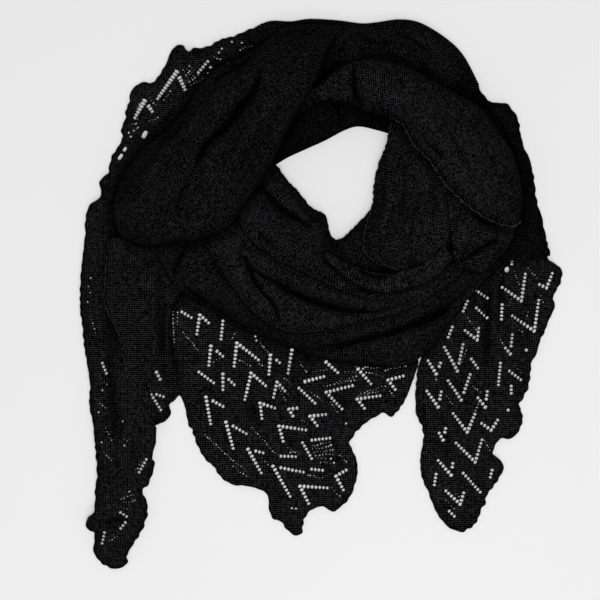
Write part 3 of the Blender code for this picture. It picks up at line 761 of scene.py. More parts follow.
# Painted highlight: a lighter copy of the same black knit for the rolled rims, standing in for the light on them.
knitFinish("rimHighlightKnit", dots=0, light=(0.082, 0.083, 0.090), wale=0.0022, course=0.0024)
# Painted shade: the next three are darker copies of the same black knit, standing in for the shade on the stretches
# that wear them.
shadeKnit = knitFinish("shadeKnit", dots=0, light=(0.0130, 0.0130, 0.0142))
bandShadeKnit = knitFinish("bandShadeKnit", light=(0.0225, 0.0227, 0.0247))
midShadeKnit = knitFinish("midShadeKnit", light=(0.0250, 0.0252, 0.0275))

# Every table of rows: left x, left y, right x, right y, bow, left z, right z, crown.
# Every table of folds: depth, width, and the line that it follows. A ridge has a depth below zero.
# Every leg and row of pinholes: its start and its end. Every gap: its middle, width, length and turn.
print("Scarf: lace at the ends and edge")

leftTail = {
    "rows": [
        (90, 214, 146, 220, 0, 2, 9, 3),
        (86, 236, 146, 240, 0, 3, 9, 6),
        (83, 262, 146, 264, 0, 3, 8, 8),
        (81, 298, 144, 300, 0, 3, 7, 9),
        (84, 335, 146, 335, 0, 3, 6, 10),
        (88, 367, 149, 367, 0, 3, 5, 11),
        (91, 388, 151, 394, 0, 3, 4, 12),
        (92, 411.5, 158, 421.5, 0, 3, 3, 12),
        (95, 442, 156, 441, 0, 3, 3, 13),
        (97, 462, 154, 461, 0, 3, 3, 13),
        (97, 484, 150, 481, 0, 3, 3, 13),
        (95, 503.5, 142, 490.5, 0, 3, 3, 12),
        (86, 521.5, 148, 505.5, 0, 3, 3, 12),
        (95, 533.5, 144, 525.5, 0, 3, 3, 11),
        (95, 549.5, 132, 543.5, 0, 3, 3, 9),
        (102, 560.5, 128, 556.5, 0, 3, 3, 6),
        (109, 566, 124, 565, 0, 3, 3, 2),
    ],
    "folds": [
        (8, 7, [(112, 290), (110, 360), (116, 430), (120, 488)]),
        (4, 5, [(136, 430), (134, 460), (128, 486)]),
        (-3, 5, [(100, 508), (118, 504), (138, 502)]),
        (6, 5, [(96, 526), (116, 520), (138, 518)]),
        (3, 4, [(92, 300), (98, 340), (100, 380)]),
        (3, 4, [(128, 300), (132, 340), (140, 370)]),
        (-3, 6, [(101, 250), (98, 320), (104, 400)]),
        (4, 5, [(104, 552), (114, 546), (124, 545)]),
    ],
    "hem": [
        (88, 214), (86, 222), (86, 234), (84, 252), (82, 270), (81, 287), (81, 311), (83, 323), (84, 335), (85, 346),
        (87, 358), (90, 376), (91, 387), (90, 400), (91, 411), (94, 423), (95, 435), (96, 446), (97, 458), (98, 476),
        (96, 488), (96, 505), (95, 511), (91, 516), (87, 521), (87, 526), (90, 530), (95, 532), (95, 543), (94, 549),
        (96, 555), (103, 563), (114, 568), (120, 567), (126, 564), (128, 561), (126, 557), (128, 552), (134, 542),
        (141, 531), (145, 521), (147, 514), (147, 504), (145, 498), (142, 493), (143, 488), (148, 484), (152, 473),
        (154, 466), (154, 462), (152, 458), (153, 451), (155, 444), (156, 434), (156, 427),
    ],
    "tuck": [(156, 421), (151, 394), (149, 367), (146, 335), (144, 300), (146, 264), (146, 220), (120, 214)],
    "legs": [
        (103, 363, 107, 373), (147, 459, 139, 473), (121, 512, 127, 516), (128, 519, 121, 528),
        (105, 532, 102, 545),
    ],
    "dots": [
        (88, 302), (91, 278), (103, 390), (99, 412), (123, 421), (102, 442), (125, 445), (130, 491),
    ],
    "pinholes": [
        (122, 498, 134, 494), (124, 502, 136, 500), (118, 506, 128, 508), (100, 376, 108, 384),
        (98, 400, 106, 408), (106, 428, 112, 440), (136, 470, 142, 462), (92, 320, 96, 332),
        (110, 540, 118, 536), (104, 452, 112, 460), (118, 436, 128, 440), (89, 286, 92, 296),
    ],
    "flat": (0.09, 0.46),
    "area": 0.032,
    "held": "laid",
}
laySheet("leftTailLace", "left_tail", leftTail, laceKnit, 1)

centrePanel = {
    "rows": [
        (167, 292, 420, 356, 4, 5, 5, 0),
        (168, 330, 416.5, 378.5, 10, 4, 4, 1),
        (172, 378, 405.5, 398, 14, 2, 3, 3),
        (185.5, 408, 390.5, 415, 18, 2, 2, 3),
        (194.5, 434, 360.5, 422, 18, 2, 2, 3),
        (206.5, 458, 351.5, 441, 14, 2, 3, 3),
        (226.5, 480, 356.5, 470, 10, 2, 2, 3),
        (256.5, 486, 349.5, 493, 6, 3, 3, 2),
        (270.5, 499.5, 336.5, 511.5, 2, 2, 2, 2),
        (273.5, 517.5, 311.5, 507.5, 2, 3, 3, 1),
        (284.5, 526.5, 302.5, 520.5, 1, 2, 2, 1),
        (291.5, 533.5, 300.5, 531.5, 0, 2, 2, 0),
    ],
    "folds": [
        (-5, 12, [(292, 345), (284, 385), (282, 440)]),
        (-5, 11, [(350, 372), (330, 405), (322, 450)]),
        (-4, 12, [(222, 345), (236, 400), (262, 460)]),
        (-4, 9, [(398, 366), (376, 388), (352, 402)]),
        (3, 4, [(240, 340), (250, 400), (278, 450)]),
        (-3, 6, [(305, 400), (300, 440), (300, 480)]),
        (3, 4, [(336, 380), (344, 410), (340, 440)]),
    ],
    "hem": [
        (172, 402), (175, 399), (179, 395), (182, 397), (184, 402), (187, 413), (189, 424), (193, 430), (196, 440),
        (201, 451), (207, 460), (212, 464), (216, 468), (219, 474), (227, 481), (233, 484), (244, 485), (255, 487),
        (266, 492), (269, 497), (269, 503), (270, 509), (271, 514), (275, 519), (280, 520), (284, 524), (287, 529),
        (291, 532), (296, 535), (301, 533), (302, 528), (303, 521), (307, 513), (313, 508), (319, 506), (324, 506),
        (329, 509), (334, 511), (338, 508), (347, 500), (352, 491), (356, 478), (357, 468), (355, 457), (351, 449),
        (349, 444), (351, 438), (358, 429), (367, 421), (377, 415), (382, 412), (387, 414), (391, 416), (395, 413),
        (402, 404), (408, 392), (411, 383), (414, 377),
    ],
    "tuck": [
        (418, 358), (400, 352), (345, 346), (290, 326), (240, 312), (200, 292), (166, 292), (165, 320), (166, 350),
        (168, 380),
    ],
    "vees": [
        ((200, 315), (197, 334), (210, 324)), ((211, 346), (209, 365), (225, 358)),
        ((237, 343), (234, 368), (260, 361)), ((270.5, 355), (269, 374), (280, 363)),
        ((292, 350), (288, 374)), ((223, 374), (223, 393), (236, 386)), ((251, 373), (245, 400), (266, 386)),
        ((277, 382), (273, 399), (287, 393)), ((206, 397), (211, 425), (226, 408)),
        ((260, 403), (262, 420), (275, 408)), ((226, 422), (234, 451), (247, 434)),
        ((279, 426), (284, 444), (307, 430)), ((289, 409), (294, 418), (297, 408)),
        ((310, 416), (319, 428), (328, 414)), ((248, 449), (262, 474), (264, 453)),
        ((273, 466), (290, 496), (303, 472)), ((300, 486), (309, 504), (330, 488)),
        ((326, 362), (340, 374.5)), ((305, 381.5), (324, 376.5)), ((326, 392), (342, 409), (355, 385)),
        ((358, 369), (371, 384)), ((357, 399), (365, 409), (382, 395.5)), ((388, 380), (397, 392), (403, 376)),
        ((336, 476), (344, 491), (347, 469.5)),
    ],
    "legs": [
        (182, 312, 192, 318), (223, 321, 221, 341), (199, 372, 214, 383), (299, 388, 316, 404),
        (302.7, 442.5, 312, 459), (311.8, 440, 330, 438), (281, 456, 296.5, 456.5),
        (311.6, 469, 325, 470.5),
    ],
    "dots": [
        (292, 508), (296, 508.5), (331, 458.5), (334, 462.6), (331, 445), (363, 368.7), (381, 351.5), (346, 423.5),
        (255.5, 336.5), (256.5, 340.5), (295, 349),
    ],
    "pinholes": [
        (334, 383.5, 356, 376.5), (324, 386, 354, 380), (361, 393, 385, 386), (358, 396, 384, 390),
        (356, 367, 377, 368), (385, 370, 406, 366), (313, 372, 327, 369), (258, 341, 268, 352),
        (183, 332, 198, 350), (205, 435, 238, 465), (252, 427, 275, 453), (275, 453, 281, 456),
        (312, 446, 329, 442), (313, 449, 332, 446), (314, 452, 333, 450), (316, 455, 333, 454),
        (318, 458, 329, 458), (321, 462, 330, 463), (279, 388, 286, 400), (282, 386, 288, 394),
        (288, 448, 298, 454), (290, 452, 300, 452), (233, 466, 246, 476), (236, 463, 246, 470),
        (305, 474, 322, 478), (332, 488, 340, 496), (340, 455, 346, 462), (252, 356, 262, 366),
        (240, 360, 250, 366), (302, 420, 308, 424), (284, 378, 292, 384), (262, 458, 268, 464),
        (231, 340, 236, 332), (300, 362, 306, 372), (312, 393, 322, 400), (330, 402, 338, 412),
        (173.5, 312, 174, 342), (178, 312, 178, 324), (366, 372, 382, 376), (388, 388, 394, 396),
        (345, 372, 356, 372), (214, 362, 222, 356),
    ],
    "flat": (0.32, 0.24),
    "area": 0.055,
    "held": "laid",
}
laySheet("centreLace", "centre_lace_panel", centrePanel, laceKnit, 2)

rightTail = {
    "rows": [
        (478, 262, 544.5, 239.5, 0, 12, 5, 3),
        (458, 288, 559.5, 271.5, 0, 9, 2, 4),
        (440, 320, 553.5, 296.5, 0, 8, 2, 5),
        (424, 352, 544.5, 335, 0, 5, 2, 5),
        (415.5, 384.5, 530.5, 364.5, 0, 3, 3, 5),
        (416.5, 410, 519.5, 401, 0, 2, 2, 5),
        (423.5, 438, 518.5, 430, 0, 2, 2, 5),
        (421.5, 462.5, 494.5, 445.5, 0, 3, 3, 4),
        (426.5, 483.5, 502.5, 463.5, 0, 2, 2, 4),
        (435.5, 505.5, 486.5, 494.5, 0, 2, 2, 3),
        (445.5, 519.5, 477.5, 512.5, 0, 2, 2, 2),
        (458.5, 528.5, 470.5, 525.5, 0, 2, 2, 0),
    ],
    "folds": [
        (7, 4, [(488, 272), (488, 300), (487, 340), (486, 385)]),
        (6, 4, [(502, 260), (500, 300), (499, 336)]),
        (-3, 4, [(497, 255), (495, 290), (493, 330)]),
        (-4, 8, [(520, 280), (512, 330), (505, 385)]),
        (-4, 9, [(468, 310), (458, 370), (456, 440)]),
        (3, 4, [(534, 300), (528, 330), (520, 360)]),
        (3, 4, [(440, 400), (446, 440), (452, 490)]),
        (-3, 6, [(478, 420), (474, 460), (468, 500)]),
    ],
    "hem": [
        (546, 252), (547, 258), (550, 262), (559, 267), (561, 272), (561, 278), (559, 284), (554, 293), (552, 299),
        (554, 303), (553, 310), (548, 320), (544, 331), (539, 341), (536, 353), (531, 361), (530, 369), (528, 385),
        (523, 397), (519, 402), (519, 407), (521, 413), (522, 418), (521, 424), (516, 434), (512, 437), (506, 438),
        (500, 438), (496, 442), (493, 449), (492, 454), (497, 458), (501, 462), (503, 467), (501, 473), (495, 483),
        (488, 492), (485, 498), (485, 503), (481, 508), (478, 517), (474, 524), (465, 530), (459, 531), (453, 529),
        (444, 522), (437, 512), (433, 503), (428, 490), (423, 479), (421, 468), (421, 457), (423, 445), (424, 439),
        (423, 428), (420, 421), (417, 415), (416, 405), (416, 390), (417, 380), (418, 366),
    ],
    "tuck": [(424, 350), (440, 318), (458, 286), (478, 256), (510, 244), (543, 238)],
    "vees": [
        ((521, 301), (502, 287.5), (525, 274)), ((546.4, 288), (537, 283.7), (552.6, 272.5)),
        ((534, 331), (511, 315.4), (538.5, 300)), ((510, 354), (503, 346), (512, 334)),
        ((477, 340), (464, 330), (479, 326)), ((457, 371), (444, 347), (463, 343)),
        ((436, 374), (428, 361), (441, 361)), ((461, 400), (446, 378), (470, 374)),
        ((438, 407), (426, 390), (441, 392)), ((485, 407), (477, 397), (487, 391)),
        ((467, 432), (451, 411), (475, 413)), ((491, 430), (481, 423), (498, 419)),
        ((443, 440), (438, 431), (446, 426)), ((475, 462), (456, 443), (482, 439)),
        ((451, 475), (436, 458), (453, 460)), ((460, 504), (446, 491), (464, 491)),
    ],
    "legs": [
        (511.9, 253.4, 511.2, 266.8), (475, 290, 487, 298), (467, 301, 463, 311),
        (476, 308, 487, 318), (501.9, 304.7, 501, 321.3), (452, 327, 448, 337),
        (471, 359, 479, 370), (500, 363, 498, 385), (509, 371, 521, 380), (511, 386, 511, 395),
        (463, 473, 480, 492), (436, 474, 434, 486), (492, 470, 490, 478), (449, 511, 456, 518),
    ],
    "gaps": [(506.3, 269.8, 4.6, 6.0, 15), (526, 350, 3.2, 3.2, 0), (508, 410, 3.2, 3.2, 0)],
    "pinholes": [
        (514, 272, 520, 288), (528, 268, 536, 278), (500, 276, 498, 284), (512, 296, 508, 306),
        (528, 312, 526, 322), (540, 296, 544, 306), (514, 324, 522, 332), (468, 318, 476, 330),
        (448, 352, 454, 362), (466, 350, 462, 362), (430, 366, 436, 380), (452, 384, 458, 394),
        (446, 396, 452, 404), (470, 384, 480, 392), (478, 404, 472, 416), (456, 418, 462, 426),
        (432, 396, 436, 404), (464, 448, 470, 456), (440, 464, 446, 472), (456, 494, 462, 498),
        (484, 440, 490, 450), (446, 500, 454, 508), (500, 340, 506, 350), (514, 366, 520, 372),
    ],
    "flat": (0.16, 0.36),
    "area": 0.041,
    "held": "laid",
}
laySheet("rightTailLace", "right_tail", rightTail, laceKnit, 3)

leftLace = {
    "rows": [
        (86, 226, 124, 230, 0, 4, 12, 2),
        (89, 207, 126, 208, 0, 3, 13, 2),
        (102, 193, 130, 192, 0, 4, 13, 2),
        (99, 182, 136, 178, 0, 2, 13, 3),
        (110, 166, 144, 163, 0, 3, 13, 2),
        (117, 149, 155, 149, 0, 2, 13, 3),
        (124, 139, 164, 140, 0, 4, 13, 2),
        (122, 127, 174, 128, 0, 2, 13, 3),
        (128, 105, 188, 110, 0, 3, 13, 3),
        (138, 85.5, 198, 98, 0, 2, 13, 3),
        (152, 83.5, 206, 92, 0, 4, 13, 2),
        (168.5, 61, 216, 84, 0, 2, 13, 3),
        (178.5, 45, 226, 78, 0, 3, 13, 3),
        (186.5, 52, 234, 76, 0, 4, 13, 2),
        (200.5, 47, 242, 74, 0, 2, 13, 3),
        (220.5, 39.5, 252, 72, 0, 3, 13, 3),
        (236, 35.5, 262, 70, 0, 2, 14, 3),
        (261.5, 25.5, 280, 68, 0, 3, 14, 4),
    ],
    "folds": [],
    "hem": [
        (86, 230), (86, 222), (87, 216), (88, 211), (90, 206), (95, 202), (100, 199), (102, 193), (101, 187),
        (100, 182), (104, 178), (109, 173), (110, 168), (111, 162), (113, 156), (119, 147), (122, 141), (124, 136),
        (121, 131), (124, 125), (126, 119), (127, 109), (130, 103), (131, 93), (135, 88), (140, 84), (146, 83),
        (151, 84), (156, 81), (163, 71), (168, 61), (172, 51), (174, 49), (178, 46), (183, 46), (185, 50), (190, 52),
        (195, 49), (207, 48), (213, 45), (222, 40), (234, 37), (245, 32), (256, 28), (262, 24),
    ],
    "tuck": [
        (280, 68), (252, 72), (234, 76), (216, 84), (198, 98), (188, 110), (174, 128), (155, 149), (144, 163),
        (136, 178), (130, 192), (126, 208), (124, 230),
    ],
    "eyelet": "wide",
    "square": 0.6,
    "vees": [((177, 72), (158, 99), (186, 92)), ((145, 101), (134, 120), (154, 114))],
    "legs": [(208, 62, 197, 75), (208, 61, 211, 68), (174, 108, 163, 124)],
    "gaps": [
        (145, 135, 4.6, 8.5, 30), (120.5, 157, 4, 7, 35), (125, 149.5, 3.6, 5, 35), (136, 124, 1.6, 4.4, 60),
        (138, 128, 1.6, 4.4, 60), (134, 131, 1.6, 3.6, 60),
    ],
    "dots": [
        (222, 49), (219, 53), (232, 42), (242, 43), (252, 39), (258, 31), (260, 49), (228, 64), (131, 137), (129, 133),
    ],
    "pinholes": [
        (183, 70, 193, 88), (186.5, 70, 196.5, 86), (190, 71, 198, 84), (150, 98, 156, 106),
        (140, 104, 134, 114), (212, 56, 220, 60), (240, 50, 252, 46), (164, 100, 170, 92),
        (190, 66, 198, 76), (130, 126, 138, 120), (200, 82, 208, 74), (150, 122, 158, 118),
    ],
    "waveHeight": 1.6,
    "flat": (0.07, 0.36),
    "area": 0.017,
    "held": "laid",
}
laySheet("leftEdgeLace", "left_lace_edge", leftLace, laceKnit, 4)


print("Scarf: back and side layers")

backBand = {
    "rows": [
        (247.5, 32.5, 264, 72, 0, 5, 16, 4),
        (268.5, 21.5, 282, 76, 0, 3, 20, 8),
        (291, 21.5, 300, 84, 0, 3, 24, 10),
        (310, 19, 318, 94, 0, 3, 26, 10),
        (338, 20.5, 336, 90, 0, 3, 26, 10),
        (361, 23.5, 354, 80, 0, 3, 25, 10),
        (376, 22.5, 372, 76, 0, 3, 24, 10),
        (400, 19.5, 392, 78, 0, 3, 24, 10),
        (421.5, 23.5, 408, 84, 0, 3, 23, 10),
        (447.5, 39.5, 424, 92, 0, 3, 22, 9),
        (464, 56.5, 436, 102, 0, 3, 22, 8),
        (479, 85, 452, 114, 0, 4, 22, 5),
    ],
    "folds": [
        (3, 6, [(304, 100), (316, 76), (330, 40)]),
        (3, 6, [(318, 96), (334, 66), (350, 36)]),
        (2.5, 8, [(392, 28), (412, 52), (440, 90)]),
        (2.5, 4, [(354, 28), (366, 40), (382, 45), (402, 42)]),
        (2.5, 4, [(394, 32), (414, 42), (432, 58)]),
        (6, 5, [(306, 92), (322, 78), (334, 68), (352, 60)]),
        (3, 5, [(360, 60), (388, 56), (414, 66), (436, 80)]),
    ],
    "leftRoll": 2.5,
    "flat": (0.13, 0.34),
    "area": 0.0226,
    "restsOn": ["left_lace_edge"],
}
layFold("backBandCloth", "back_neck_band", backBand, bandShadeKnit, 5)

rightOuter = {
    "rows": [
        (446, 104, 469, 70.5, 0, 18, 3, 3),
        (462, 116, 486.5, 100, 0, 18, 3, 4),
        (472, 128, 506.5, 105, 0, 18, 4, 6),
        (482, 142, 517.5, 121, 0, 18, 4, 6),
        (490, 158, 520.5, 139, 0, 18, 3, 5),
        (496, 178, 531.5, 169.5, 0, 18, 3, 5),
        (496, 200, 535.5, 198, 0, 17, 3, 5),
        (492, 222, 541.5, 220, 0, 16, 3, 5),
        (484, 244, 545.5, 240, 0, 15, 4, 5),
        (476, 266, 549.5, 256, 0, 15, 6, 4),
    ],
    "folds": [
        (3, 4, [(470, 92), (500, 124), (514, 160), (520, 200), (526, 250)]),
    ],
    "rightRuffle": (1.2, 14),
    "flat": (0.08, 0.26),
    "area": 0.0128,
    "restsOn": ["right_tail"],
}
layFold("rightOuterCloth", "right_outer_layer", rightOuter, shadeKnit, 6)

leftDrop = {
    "rows": [
        (112, 238, 190, 244, 0, 17, 13, 5),
        (107, 268, 188, 270, 0, 16, 10, 6),
        (105, 298, 179, 297, 0, 15, 7, 7),
        (112, 320, 170, 320, 0, 15, 6, 7),
        (121, 343, 171, 345, 0, 15, 5, 7),
        (126, 368, 176, 368, 0, 14, 4, 6),
        (136, 387, 179, 389, 0, 12, 3, 5),
        (146, 403, 171, 401, 0, 10, 3, 3),
        (155, 421, 166, 417, 0, 8, 3, 1),
    ],
    "folds": [
        (8, 6, [(136, 252), (134, 290), (140, 340), (148, 380)]),
        (6, 6, [(162, 250), (160, 290), (162, 340), (164, 380)]),
        (6, 4, [(136, 279), (143, 269), (152, 261), (164, 258)]),
        (5, 4, [(168, 286), (164, 320), (164, 358)]),
        (5, 4, [(122, 254), (125, 272), (129, 290)]),
        (-2, 5, [(112, 262), (116, 290), (124, 330)]),
        (3, 3, [(150, 300), (150, 340), (156, 390)]),
    ],
    "hem": [
        (108, 256), (106, 280), (105, 300), (110, 315), (118, 330), (122, 345), (125, 360), (128, 375), (135, 385),
        (145, 400), (150, 413), (154, 422), (157, 424), (162, 422), (167, 419), (170, 414), (170, 409), (169, 404),
        (174, 399), (180, 392),
    ],
    "tuck": [
        (181, 380), (176, 368), (171, 345), (170, 322), (172, 308), (179, 295), (187, 272), (190, 244), (150, 238),
        (112, 238),
    ],
    "rim": "rimHighlightKnit",
    "vees": [((157, 372), (162, 382))],
    "legs": [(146, 385, 162, 411), (150, 392, 165, 397)],
    "dots": [(142, 376)],
    "flat": (0.11, 0.27),
    "area": 0.018,
    "restsOn": ["left_tail"],
}
laySheet("leftDropLace", "left_drop", leftDrop, laceKnit, 7)


print("Scarf: folds of the loop")

lowerFold = {
    "rows": [
        (206, 226, 152, 236, 0, 24, 20, 4),
        (214, 252, 163, 264, 0, 22, 14, 7),
        (226, 274, 177, 287, 0, 21, 9, 9),
        (242, 296, 203, 304, 0, 20, 7, 9),
        (262, 314, 234, 324, 0, 20, 7, 8),
        (286, 326, 268, 338, 0, 20, 7, 8),
        (312, 326, 302, 352, 0, 20, 7, 9),
        (338, 321, 334, 360, 0, 20, 7, 10),
        (364, 313, 368, 364, 0, 20, 7, 10),
        (392, 305, 404, 366, 0, 20, 8, 10),
        (420, 292, 428, 350, 0, 20, 10, 9),
        (444, 273, 450, 320, 0, 20, 11, 8),
        (462, 258, 474, 292, 0, 20, 12, 7),
        (480, 244, 500, 264, 0, 20, 13, 5),
    ],
    "folds": [
        (8, 6, [(306, 350), (365, 338), (420, 322), (455, 300), (482, 268)]),
        (7, 4, [(178, 276), (186, 288), (198, 297), (207, 306), (220, 312), (232, 321), (246, 327), (268, 330)]),
        (4, 4, [(172, 286), (176, 268), (184, 252), (190, 240)]),
        (-3, 6, [(300, 343), (346, 338), (394, 326), (430, 308), (456, 288)]),
        (4, 4, [(398, 330), (420, 320), (440, 314), (462, 304)]),
        (3, 5, [(312, 356), (340, 347), (365, 340), (392, 336)]),
        (2.5, 5, [(204, 240), (214, 262), (228, 284), (248, 304)]),
    ],
    "rightRoll": 4,
    "flat": (0.10, 0.52),
    "area": 0.03,
    "restsOn": ["left_drop", "centre_lace_panel", "hidden_folds"],
}
layFold("lowerFoldCloth", "cowl_lower_fold", lowerFold, midShadeKnit, 8)

middleFold = {
    "rows": [
        (238, 196, 198, 232, 0, 28, 24, 4),
        (245, 222, 212, 254, 0, 27, 24, 7),
        (254, 240, 226, 276, 0, 26, 23, 9),
        (274, 253, 242, 299, 0, 26, 22, 11),
        (299, 264, 262, 319, 0, 26, 22, 12),
        (322, 275, 290, 332, 0, 26, 22, 12),
        (345, 286, 326, 330, 0, 26, 22, 11),
        (370, 292, 358, 322, 0, 26, 22, 9),
        (395, 290, 392, 314, 0, 27, 22, 7),
        (418, 280, 421, 302, 0, 28, 22, 6),
        (438, 262, 446, 284, 0, 29, 22, 5),
        (448, 246, 464, 269, 0, 30, 23, 3),
    ],
    "folds": [
        (8, 5, [
            (240, 250), (252, 268), (273, 281), (292, 292), (321, 304), (353, 311), (385, 311), (402, 305), (420, 296),
        ]),
        (6, 4, [(238, 244), (248, 266), (256, 282), (264, 294), (272, 302), (278, 316), (280, 332)]),
        (-2.5, 5, [(262, 262), (290, 278), (330, 296), (370, 304)]),
    ],
    "rightRoll": 4,
    "flat": (0.10, 0.40),
    "area": 0.0235,
    "restsOn": ["cowl_lower_fold"],
}
layFold("middleFoldCloth", "cowl_middle_fold", middleFold, foldKnit, 9)

innerFold = {
    "rows": [
        (266, 156, 226, 200, 0, 26, 30, 4),
        (277, 167, 238, 218, 0, 16, 30, 7),
        (286, 180, 245, 232, 0, 10, 30, 9),
        (297, 191, 257, 246, 0, 8, 30, 10),
        (311, 208, 276, 259, 0, 8, 30, 10),
        (325, 216, 298, 270, 0, 8, 30, 10),
        (330, 235, 321, 281, 0, 8, 30, 9),
        (340, 240, 346, 292, 0, 8, 30, 9),
        (358, 224, 372, 299, 0, 8, 30, 7),
        (373, 208, 396, 298, 0, 9, 31, 4),
    ],
    "folds": [
        (8, 4.5, [(256, 178), (273, 201), (288, 213), (299, 221), (316, 230)]),
        (3, 5, [(250, 214), (262, 236), (284, 252), (320, 268)]),
        (-2.5, 4, [(284, 196), (302, 214), (322, 236)]),
    ],
    "leftRoll": 4,
    "rightRoll": 4,
    "leftRuffle": (0.8, 8),
    "flat": (0.10, 0.28),
    "area": 0.0192,
    "restsOn": ["cowl_middle_fold"],
}
layFold("innerFoldCloth", "cowl_inner_fold", innerFold, foldKnit, 10)

neckEdge = {
    "rows": [
        (270, 126, 270, 170, 0, 24, 18, 4),
        (292, 100, 286, 159, 0, 28, 10, 6),
        (308, 88, 305, 150, 0, 30, 8, 7),
        (324, 86, 325, 141, 0, 30, 8, 7),
        (344, 90, 345, 130.5, 0, 29, 8, 6),
        (362, 96, 359, 127, 0, 28, 8, 5),
        (380, 102, 376, 130.5, 0, 27, 9, 4),
        (402, 108, 391, 135, 0, 26, 14, 3),
    ],
    "folds": [
        (4, 5, [(272, 150), (286, 134), (300, 116), (312, 98)]),
        (2.5, 5, [(330, 92), (338, 112), (342, 134)]),
    ],
    "rightRoll": 3,
    "flat": (0.07, 0.18),
    "area": 0.0101,
    "restsOn": ["back_neck_band"],
}
layFold("neckEdgeCloth", "neck_edge_fold", neckEdge, shadeKnit, 11)

innerWrap = {
    "rows": [
        (391, 124, 424, 126, 0, 26, 30, 1),
        (388, 136, 428, 142, 0, 20, 30, 3),
        (385, 149, 438, 162, 0, 15, 31, 5),
        (379, 164, 450, 184, 0, 10, 32, 8),
        (374, 186, 460, 200, 0, 9, 32, 10),
        (373, 203, 466, 218, 0, 12, 32, 11),
        (368, 219, 464, 238, 0, 16, 32, 11),
        (364, 236, 455, 256, 0, 18, 32, 10),
        (364, 252, 441, 270, 0, 22, 32, 6),
        (380, 266, 424, 278, 0, 31, 33, 3),
    ],
    "folds": [
        (2, 7, [(398, 150), (404, 180), (400, 215), (388, 245)]),
        (2, 7, [(426, 172), (434, 205), (424, 250)]),
        (8, 4, [(462, 198), (456, 218), (453, 233), (450, 247), (446, 263), (436, 278)]),
        (-3, 5, [(388, 170), (388, 205), (376, 236)]),
    ],
    "leftRoll": 4,
    "rightRoll": 2.5,
    "leftRuffle": (0.9, 9),
    "rim": "rimHighlightKnit",
    "flat": (0.13, 0.22),
    "area": 0.02,
    "restsOn": ["cowl_inner_fold", "cowl_middle_fold"],
}
layFold("innerWrapCloth", "right_inner_wrap", innerWrap, foldKnit, 12)

hookFold = {
    "rows": [
        (326, 252, 324, 257, 0, 32, 34, 0),
        (347, 263, 343, 276, 0, 33, 34, 3),
        (368, 271, 364, 288, 0, 34, 34, 4),
        (388, 274, 388, 293, 0, 35, 34, 4),
        (402, 271, 408, 288, 0, 35, 34, 4),
        (417, 266, 424, 283, 0, 35, 34, 4),
        (431, 258, 439, 273, 0, 34, 34, 3),
        (443, 246, 451, 258, 0, 33, 33, 2),
    ],
    "folds": [
        (5, 3, [(352, 266), (372, 276), (396, 276)]),
    ],
    "leftRoll": 2.5,
    "rightRoll": 2.5,
    "flat": (0.05, 0.18),
    "area": 0.0056,
    "restsOn": ["cowl_inner_fold", "right_inner_wrap"],
}
layFold("hookFoldCloth", "neck_hook_fold", hookFold, foldKnit, 13)

rightJunction = {
    "rows": [
        (446, 196, 514, 208, 0, 34, 22, 3),
        (448, 214, 515, 224, 0, 34, 20, 7),
        (450, 234, 511, 242, 0, 33, 19, 9),
        (452, 252, 499, 257, 0, 32, 19, 7),
        (456, 268, 482, 274, 0, 28, 20, 3),
    ],
    "folds": [
        (5, 5, [(466, 206), (458, 222), (456, 246)]),
        (-3, 5, [(474, 244), (490, 236), (502, 240), (486, 256)]),
        (4, 3, [(470, 214), (486, 224), (505, 222)]),
        (5, 4, [(454, 266), (466, 258), (479, 249), (492, 242), (502, 236)]),
    ],
    "leftRoll": 3,
    "rightRoll": 3,
    "flat": (0.10, 0.11),
    "area": 0.0075,
    "restsOn": ["right_outer_layer", "cowl_lower_fold"],
}
layFold("rightJunctionCloth", "right_junction", rightJunction, foldKnit, 14)

rightLobe = {
    "rows": [
        (294, 122, 284, 108, 0, 24, 28, 1),
        (309, 108, 300, 97, 0, 32, 33, 1),
        (324, 102, 314, 91, 0, 34, 34, 1),
        (338, 103, 327, 79, 0, 33, 31, 7),
        (352, 106, 343, 67, 0, 32, 30, 12),
        (366, 113, 362, 61, 0, 32, 29, 16),
        (386, 118, 385, 62, 0, 32, 28, 19),
        (402, 126, 405, 67, 0, 34, 28, 20),
        (413, 146, 428, 79, 0, 36, 27, 20),
        (429, 162, 455, 94, 0, 37, 26, 20),
        (446, 187, 480, 110, 0, 38, 25, 20),
        (466, 206, 497, 131, 0, 38, 24, 19),
        (484, 218, 511, 153, 0, 36, 23, 17),
        (500, 225, 519, 178, 0, 32, 22, 13),
        (512, 227, 521, 198, 0, 28, 22, 7),
        (519, 222, 521, 212, 0, 25, 23, 1),
    ],
    "folds": [
        (7, 4.5, [(352, 60), (353, 78), (355, 96), (363, 112), (378, 124)]),
        (2, 7, [(392, 60), (402, 92), (404, 122)]),
        (2.5, 8, [(418, 92), (440, 120), (462, 160), (480, 204)]),
        (2, 8, [(446, 100), (478, 138), (502, 190)]),
        (2.5, 5, [(404, 118), (420, 138), (440, 158), (462, 176)]),
    ],
    "leftRuffle": (1.6, 9.5),
    "rimSize": 1.6,
    "hemFrom": 0.36,
    "rim": "rimHighlightKnit",
    "rightRoll": 6,
    "flat": (0.16, 0.33),
    "area": 0.031,
    "restsOn": ["back_neck_band", "right_outer_layer", "right_junction"],
}
layFold("rightLobeCloth", "right_lobe", rightLobe, foldKnit, 15)

